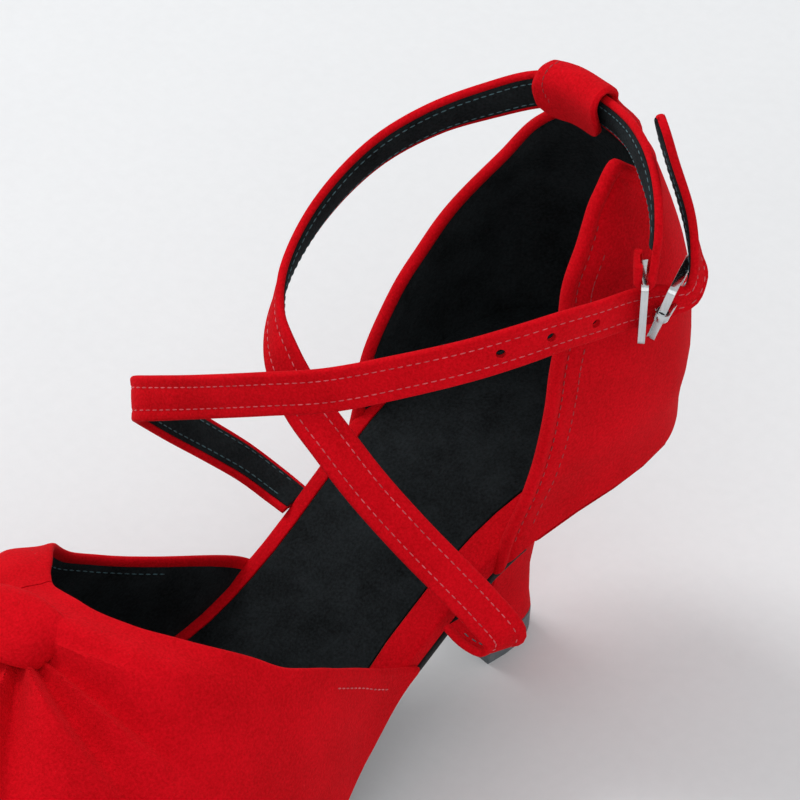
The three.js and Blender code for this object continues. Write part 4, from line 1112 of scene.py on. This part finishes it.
FRONT: list[Station] = [
    (V(-21, 66.6, 35), N(-0.05, 0.1, -1)), (V(-25.2, 67.6, 36.3), N(-0.35, 0.1, -0.93)),
    (V(-30, 71.4, 41), N(-0.6, 0.2, -0.77)), (V(-34, 77, 46.7), N(-0.75, 0.3, -0.6)),
    (V(-36.4, 84, 54), N(-0.85, 0.4, -0.35)), (V(-36.4, 91, 62), N(-0.8, 0.6, -0.1)),
    (V(-33.6, 94, 66), N(-0.5, 0.86, 0)), (V(-28, 93, 69.4), N(-0.1, 0.98, 0.12)),
    (V(-20, 90.4, 73.6), N(0.2, 0.96, 0.15)), (V(-7, 86.2, 80.6), N(0.38, 0.9, 0.18)),
    (V(4, 80.4, 85.7), N(0.48, 0.84, 0.2)), (V(14, 72.9, 91.4), N(0.6, 0.77, 0.15)),
    (V(22, 63.7, 95.6), N(0.72, 0.66, 0.1)), (V(26.8, 55.6, 98.2), N(0.82, 0.53, 0.08)),
    (V(29, 48.6, 99), N(0.9, 0.4, 0.05)), (V(30, 40.8, 98.2), N(0.96, 0.2, 0.03)),
    (V(30.2, 34.4, 97.2), N(0.98, 0.05, 0.02)), (V(31, 30, 96.7), N(0.92, 0.35, 0)),
    (V(32.6, 26, 96.7), N(0.88, 0.42, 0)), (V(34.1, 22.9, 97.1), N(0.92, 0.25, 0)),
    (V(34.0, 21.1, 99.2), N(0.95, 0, -0.2)), (V(33.3, 21.0, 103), N(0.8, -0.58, -0.1)),
    (V(31.0, 20.6, 109), N(0.58, -0.81, 0.1)), (V(29.2, 20.8, 114), N(0.5, -0.86, 0.1)),
    (V(27, 21.6, 120), TAIL_FACE), (V(25.5, 22.8, 126), TAIL_FACE), (V(24.6, 23.8, 131), TAIL_FACE),
]


@dataclass
class TunnelTab:
    """The tongue that rises from the back of the cup, wraps the rear strap and is sewn down inside."""

    ribbon: Ribbon
    left: float = -13.6
    right: float = 3.4
    lobe: float = 6.5
    thick: float = 1.5
    count: int = 56

    def wall_at(self, x: float, h: float, d: float) -> Pair:
        """Station and height of the cup wall at a side position, h over its top line."""
        low, high = -30.0, 30.0
        for _ in range(30):
            a = (low + high) / 2
            if cup(a, topline(a) + h, d).x < x:
                low = a
            else:
                high = a
        p = cup(low, topline(low) + h, d)
        return -p.y, p.z

    def strap_at(self, x: float) -> tuple[Vector, Vector, Vector, Vector]:
        """The rear strap's frame where it crosses a side position."""
        low, high = self.ribbon.length * 0.6, self.ribbon.length * 0.9
        for _ in range(30):
            mm = (low + high) / 2
            if self.ribbon.frame_at(mm)[0].x < x:
                low = mm
            else:
                high = mm
        p, along, out, across = self.ribbon.frame_at(low)
        return p, along, out, across if across.z > 0 else -across

    def line(self, x: float) -> list[Pair]:
        """The middle line of the tongue at a side position, from low outside to its end inside."""
        p, along, out, up = self.strap_at(x)

        def strap(u: float, v: float) -> Pair:
            """A point beside the strap, slid along it to this side position."""
            q = p + up * u + out * v
            q = q + along * ((x - q.x) / along.x)
            return -q.y, q.z

        outside = self.wall_at(x, -9, 1.1), self.wall_at(x, -4.5, 1.1), self.wall_at(x, -0.5, 1.2)
        over = strap(1.0, 2.5), strap(3.5, 2.6), strap(5.5, 1.3), strap(5.7, -0.9)
        inside = strap(3.9, -2.5), strap(1.2, -2.7), strap(-1.8, -2.5), strap(-4.4, -2.1)
        return [*outside, *over, *inside]

    def build(self) -> None:
        """Makes the tongue with a rounded lobe on the inner side and its stitches."""

        def smooth_line(points: list[Pair], f: float) -> Pair:
            """A soft line through the points at a share f."""
            n = len(points) - 1
            q = f * n
            i = min(max(int(q), 0), n - 1)
            w = q - i
            p0, p1, p2 = points[max(i - 1, 0)], points[i], points[i + 1]
            p3 = points[min(i + 2, n)]
            out = []
            for k in (0, 1):
                m1, m2 = (p2[k] - p0[k]) / 2, (p3[k] - p1[k]) / 2
                out.append(
                    (2 * w**3 - 3 * w**2 + 1) * p1[k] + (w**3 - 2 * w**2 + w) * m1
                    + (3 * w**2 - 2 * w**3) * p2[k] + (w**3 - w**2) * m2
                )
            return out[0], out[1]

        cache: dict[float, list[Pair]] = {}

        def at(x: float, f: float, d: float) -> Vector:
            """A point of the tongue at share f, d outside its middle."""
            key = round(x, 4)
            if key not in cache:
                cache[key] = self.line(x)
            a = smooth_line(cache[key], f)
            b = smooth_line(cache[key], f + 0.01)
            c = smooth_line(cache[key], f - 0.01)
            run = math.hypot(b[0] - c[0], b[1] - c[1])
            return V(x, a[0] - (b[1] - c[1]) / run * d, a[1] + (b[0] - c[0]) / run * d)

        def spread(x: float) -> Pair:
            """First and last share of the line at a side position: the lobe is rounded."""
            k = clamp((x - self.left) / self.lobe)
            k = math.sqrt(max(0.0, 1 - (1 - k) ** 2))
            j = math.sqrt(max(0.0, 1 - (1 - clamp((self.right - x) / 5.0)) ** 2))
            return mix(0.47, 0.0, k), mix(0.72, mix(0.84, 1.0, j), k)

        def place(u: float, v: float) -> Vector:
            """The closed, softly rounded section."""
            x = mix(self.left, self.right, 0.5 - 0.5 * math.cos(math.pi * u) if u < 0.5 else u)
            first, last = spread(x)
            k = round(v * self.count) % self.count
            face = self.count // 2 - 4
            end = min(1.0, 0.25 + (x - self.left) / 1.2, 0.25 + (self.right - x) / 0.9)
            thick = self.thick / 2 * end
            if k <= face:
                return at(x, mix(first, last, k / face), thick)
            if k <= face + 4:
                angle = math.pi * (k - face) / 4
                return at(x, last + 0.012 * math.sin(angle), thick * math.cos(angle))
            if k <= 2 * face + 4:
                return at(x, mix(last, first, (k - face - 4) / face), -thick)
            angle = math.pi * (k - 2 * face - 4) / 4
            return at(x, first - 0.012 * math.sin(angle), -thick * math.cos(angle))

        obj = shaped("tunnel_tab_suede", 48, self.count, place, ring=True)
        dress(obj, RED_SUEDE, nodes=["strap_tunnel_tab"])

        def path(mm: float) -> tuple[Vector, Vector, Vector]:
            """Stitches down the lobe's rounded edge."""
            f = mix(0.5, 0.86, mm / 14)
            x = self.left + 2.4 + 3.0 * (abs(f - 0.62) / 0.3) ** 2
            p = at(x, f, self.thick / 2 - 0.02)
            q = at(x + 0.01, f + 0.02, self.thick / 2)
            return p, (q - p).normalized(), (at(x, f, 1) - at(x, f, 0)).normalized()

        Seam(finish=THREAD_DEEP).sew("tunnel_tab_stitches", path, 0.5, 13.5)


@dataclass
class Straps:
    """Both ankle straps and the tunnel tab at the back of the cup."""

    tail: float = 36.0
    first_hole: float = 20.5
    hole_pitch: float = 9.2

    def build(self) -> None:
        """Makes both straps."""
        rear = Ribbon(REAR)
        loop = rear.length - 11.5

        def rear_width(mm: float) -> float:
            """The end is skived narrower where it goes round the bar."""
            return mix(1.0, 0.68, smooth((mm - loop + 3) / 3))

        Strap(
            "rear", rear, ("strap_rear_outer", "strap_rear_lining"), rear_width,
            (3.0, loop - 2), (11.0, loop - 1),
        ).build()
        TunnelTab(rear).build()
        front = Ribbon(FRONT)
        bend = front.length - self.tail + 2.0

        def front_width(mm: float) -> float:
            """Pinched where it turns up beyond the buckle, and rounded at the tip."""
            pinch = 1 - 0.42 * smooth(1 - abs(mm - bend) / 10)
            left = clamp((front.length - mm) / 4.2)
            return pinch * math.sqrt(max(0.06, 1 - (1 - left) ** 2))

        nearest = front.length - self.tail - self.first_hole
        holes = tuple(nearest - i * self.hole_pitch for i in range(3))
        Strap(
            "front", front, ("strap_front_outer", "strap_front_lining"), front_width,
            (3.0, front.length - 4), (0.0, front.length - 0.8), holes,
        ).build()


# ---------------------------------------------------------------- buckle
@dataclass
class Buckle:
    """The hook ring, the frame and its prong, cast and plated."""

    frame_at: tuple[float, float, float] = (32.2, 25.2, 96.6)
    frame_tall: float = 13
    frame_deep: float = 12
    frame_wire: float = 0.75
    lean: float = 16  # degrees that the frame leans out

    def rounded_frame(
        self, name: str, at: Vector, tall_dir: Vector, deep_dir: Vector, tall: float, deep: float, wire: float
    ) -> bpy.types.Object:
        """A rectangular ring of flat bar with rounded corners, from a plane shaped in edit mode.

        Args:
            name: The piece's name.
            at: Its centre.
            tall_dir: Direction of its tall side.
            deep_dir: Direction of its short side.
            tall: Length of the tall side.
            deep: Length of the short side.
            wire: Half thickness of the bar.

        Returns:
            The ring.
        """
        deselect()
        bpy.ops.mesh.primitive_plane_add(size=1)
        obj = bpy.context.object
        obj.name = name
        obj.data.name = name
        for v in obj.data.vertices:
            v.co = Vector((v.co.x * deep * MM, v.co.y * tall * MM, 0))
        edit(obj)
        bpy.ops.mesh.bevel(offset=1.3 * MM, segments=4, affect="VERTICES")
        bpy.ops.mesh.select_all(action="SELECT")
        bpy.ops.mesh.inset(thickness=wire * 2 * MM)
        bpy.ops.mesh.delete(type="FACE")
        close_edit()
        finish_with(obj, "SOLIDIFY", thickness=wire * 2 * MM, offset=0)
        finish_with(
            obj, "BEVEL", width=0.28 * MM, segments=3, limit_method="ANGLE", angle_limit=math.radians(50)
        )
        face = deep_dir.cross(tall_dir).normalized()
        turn = Matrix((deep_dir, tall_dir, face)).transposed().to_4x4()
        obj.data.transform(Matrix.Translation(world(at)) @ turn)
        edit(obj)
        bpy.ops.mesh.normals_make_consistent(inside=False)
        close_edit()
        shade(obj, 35)
        return obj

    def build(self) -> None:
        """Makes the three metal pieces."""
        ring = self.rounded_frame(
            "hook_ring", RING_AT, Vector((0, 0, 1)), DEEP, RING_TALL, RING_DEEP, RING_WIRE
        )
        dress(ring, PLATED, "hook_ring", ["buckle_hook_ring"])
        lean = math.radians(self.lean)
        along = N(0.487, 0.873, 0)
        outward = N(0.873, -0.487, 0)
        up = Vector((0, 0, math.cos(lean))) + outward * math.sin(lean)
        body = self.rounded_frame(
            "buckle_body", V(*self.frame_at), up, along, self.frame_tall, self.frame_deep, self.frame_wire
        )
        dress(body, PLATED, "buckle", ["buckle_frame"])
        prong = copy_of("buckle_prong", "buckle_tongue", 0.08, 2)
        dress(prong, PLATED, "prong", ["buckle_prong"])


# ---------------------------------------------------------------- sole, heel and hidden parts
@dataclass
class Sole:
    """The foot bed, waist coverings, outsole, heel and the parts inside them."""

    hidden: tuple[tuple[str, Finish], ...] = (
        ("insole_board", BOARD), ("steel_shank", SPRING_STEEL), ("heel_seat_packing", FILLER),
        ("forefoot_filler", FILLER), ("counter_stiffener", STIFFENER), ("heel_block", ABS),
        ("top_piece_pin", STEEL), ("heel_nail_1", STEEL), ("heel_nail_2", STEEL),
        ("heel_nail_3", STEEL), ("heel_nail_4", STEEL), ("heel_screw", STEEL),
    )

    def build(self) -> None:
        """Softens the visible parts and dresses the hidden ones."""
        for part, name, finish, slot, bevel in (
            ("sock_lining", "sock_suede", BLACK_SUEDE, "black_suede", 0.25),
            ("waist_wrap_lateral", "waist_cover_outer_side", RED_SUEDE, "red_suede", 0.35),
            ("waist_wrap_medial", "waist_cover_inner_side", RED_SUEDE, "red_suede", 0.35),
            ("outsole", "outsole_suede", SOLE_SUEDE, "sole_suede", 0.2),
            ("heel_cover", "heel_cover_suede", RED_SUEDE, "red_suede", 0.2),
            ("heel_breast_cover", "heel_breast_suede", BLACK_SUEDE, "black_suede", 0.15),
            ("top_piece", "top_lift", TOP_RUBBER, "top_piece_rubber", 0.4),
        ):
            dress(copy_of(part, name, bevel), finish, nodes=[part])
        for part, finish in self.hidden:
            data = frame["nodes"][part].data
            data.materials.clear()
            data.materials.append(finish.build())


# ---------------------------------------------------------------- studio
@dataclass
class Studio:
    """Pale floor, soft light from the inner side and the camera."""

    azimuth: float = 48.2
    elevation: float = 40.0
    roll: float = 2.0
    distance: float = 0.9
    lens: float = 224.19
    look: tuple[float, float, float] = (2.4, 62.3, 72.6)

    def floor(self) -> None:
        """A pale sheet under the shoe."""
        deselect()
        bpy.ops.mesh.primitive_plane_add(size=6)
        obj = bpy.context.object
        obj.name = "floor"
        paper = Finish("matt_paper_sweep", "DCDDDE", "E2E3E4", 3.0, 0.02, 200.0, 0.6, 0.9)
        obj.data.materials.append(paper.build())

    def light(self) -> None:
        """A soft key from the inner side, a wider and weaker fill and a bright room."""
        for name, at, size, power in (
            ("key_light", (-1.0, -0.15, 1.35), 0.6, 11.5),
            ("fill_light", (1.0, -0.9, 1.2), 1.8, 6.5),
        ):
            data = bpy.data.lights.new(name, "AREA")
            data.size = size
            data.energy = power
            obj = bpy.data.objects.new(name, data)
            obj.location = at
            aim = Vector((0, 0, 0.05)) - Vector(at)
            obj.rotation_euler = aim.to_track_quat("-Z", "Y").to_euler()
            bpy.context.scene.collection.objects.link(obj)
        room = bpy.data.worlds.new("room")
        room.use_nodes = True
        back = room.node_tree.nodes["Background"]
        back.inputs[0].default_value = (0.97, 0.985, 1.0, 1)
        back.inputs[1].default_value = 0.75
        bpy.context.scene.world = room
        bpy.context.scene.view_settings.view_transform = "Standard"

    def camera(self) -> None:
        """The camera, level with its own small roll."""
        a, e, r = (math.radians(v) for v in (self.azimuth, self.elevation, self.roll))
        back = Vector((math.sin(a) * math.cos(e), -math.cos(a) * math.cos(e), math.sin(e)))
        right = Vector((math.cos(a), math.sin(a), 0))
        up = back.cross(right)
        x = right * math.cos(r) + up * math.sin(r)
        y = up * math.cos(r) - right * math.sin(r)
        data = bpy.data.cameras.new("camera")
        data.lens = self.lens
        data.sensor_width = 36
        data.clip_start = 0.01
        obj = bpy.data.objects.new("camera", data)
        turn = Matrix((x, y, back)).transposed().to_4x4()
        obj.matrix_world = Matrix.Translation(world(V(*self.look)) + back * self.distance) @ turn
        bpy.context.scene.collection.objects.link(obj)
        bpy.context.scene.camera = obj


def main() -> None:
    """Builds the sandal in order, then the studio."""
    logging.basicConfig(level=logging.INFO)
    Studio().camera()
    for part in (Quarter(), Vamp(), Straps(), Buckle(), Sole()):
        part.build()
        LOG.info("finished %s", type(part).__name__)
    studio = Studio()
    studio.floor()
    studio.light()


if __name__ == "__main__":
    main()
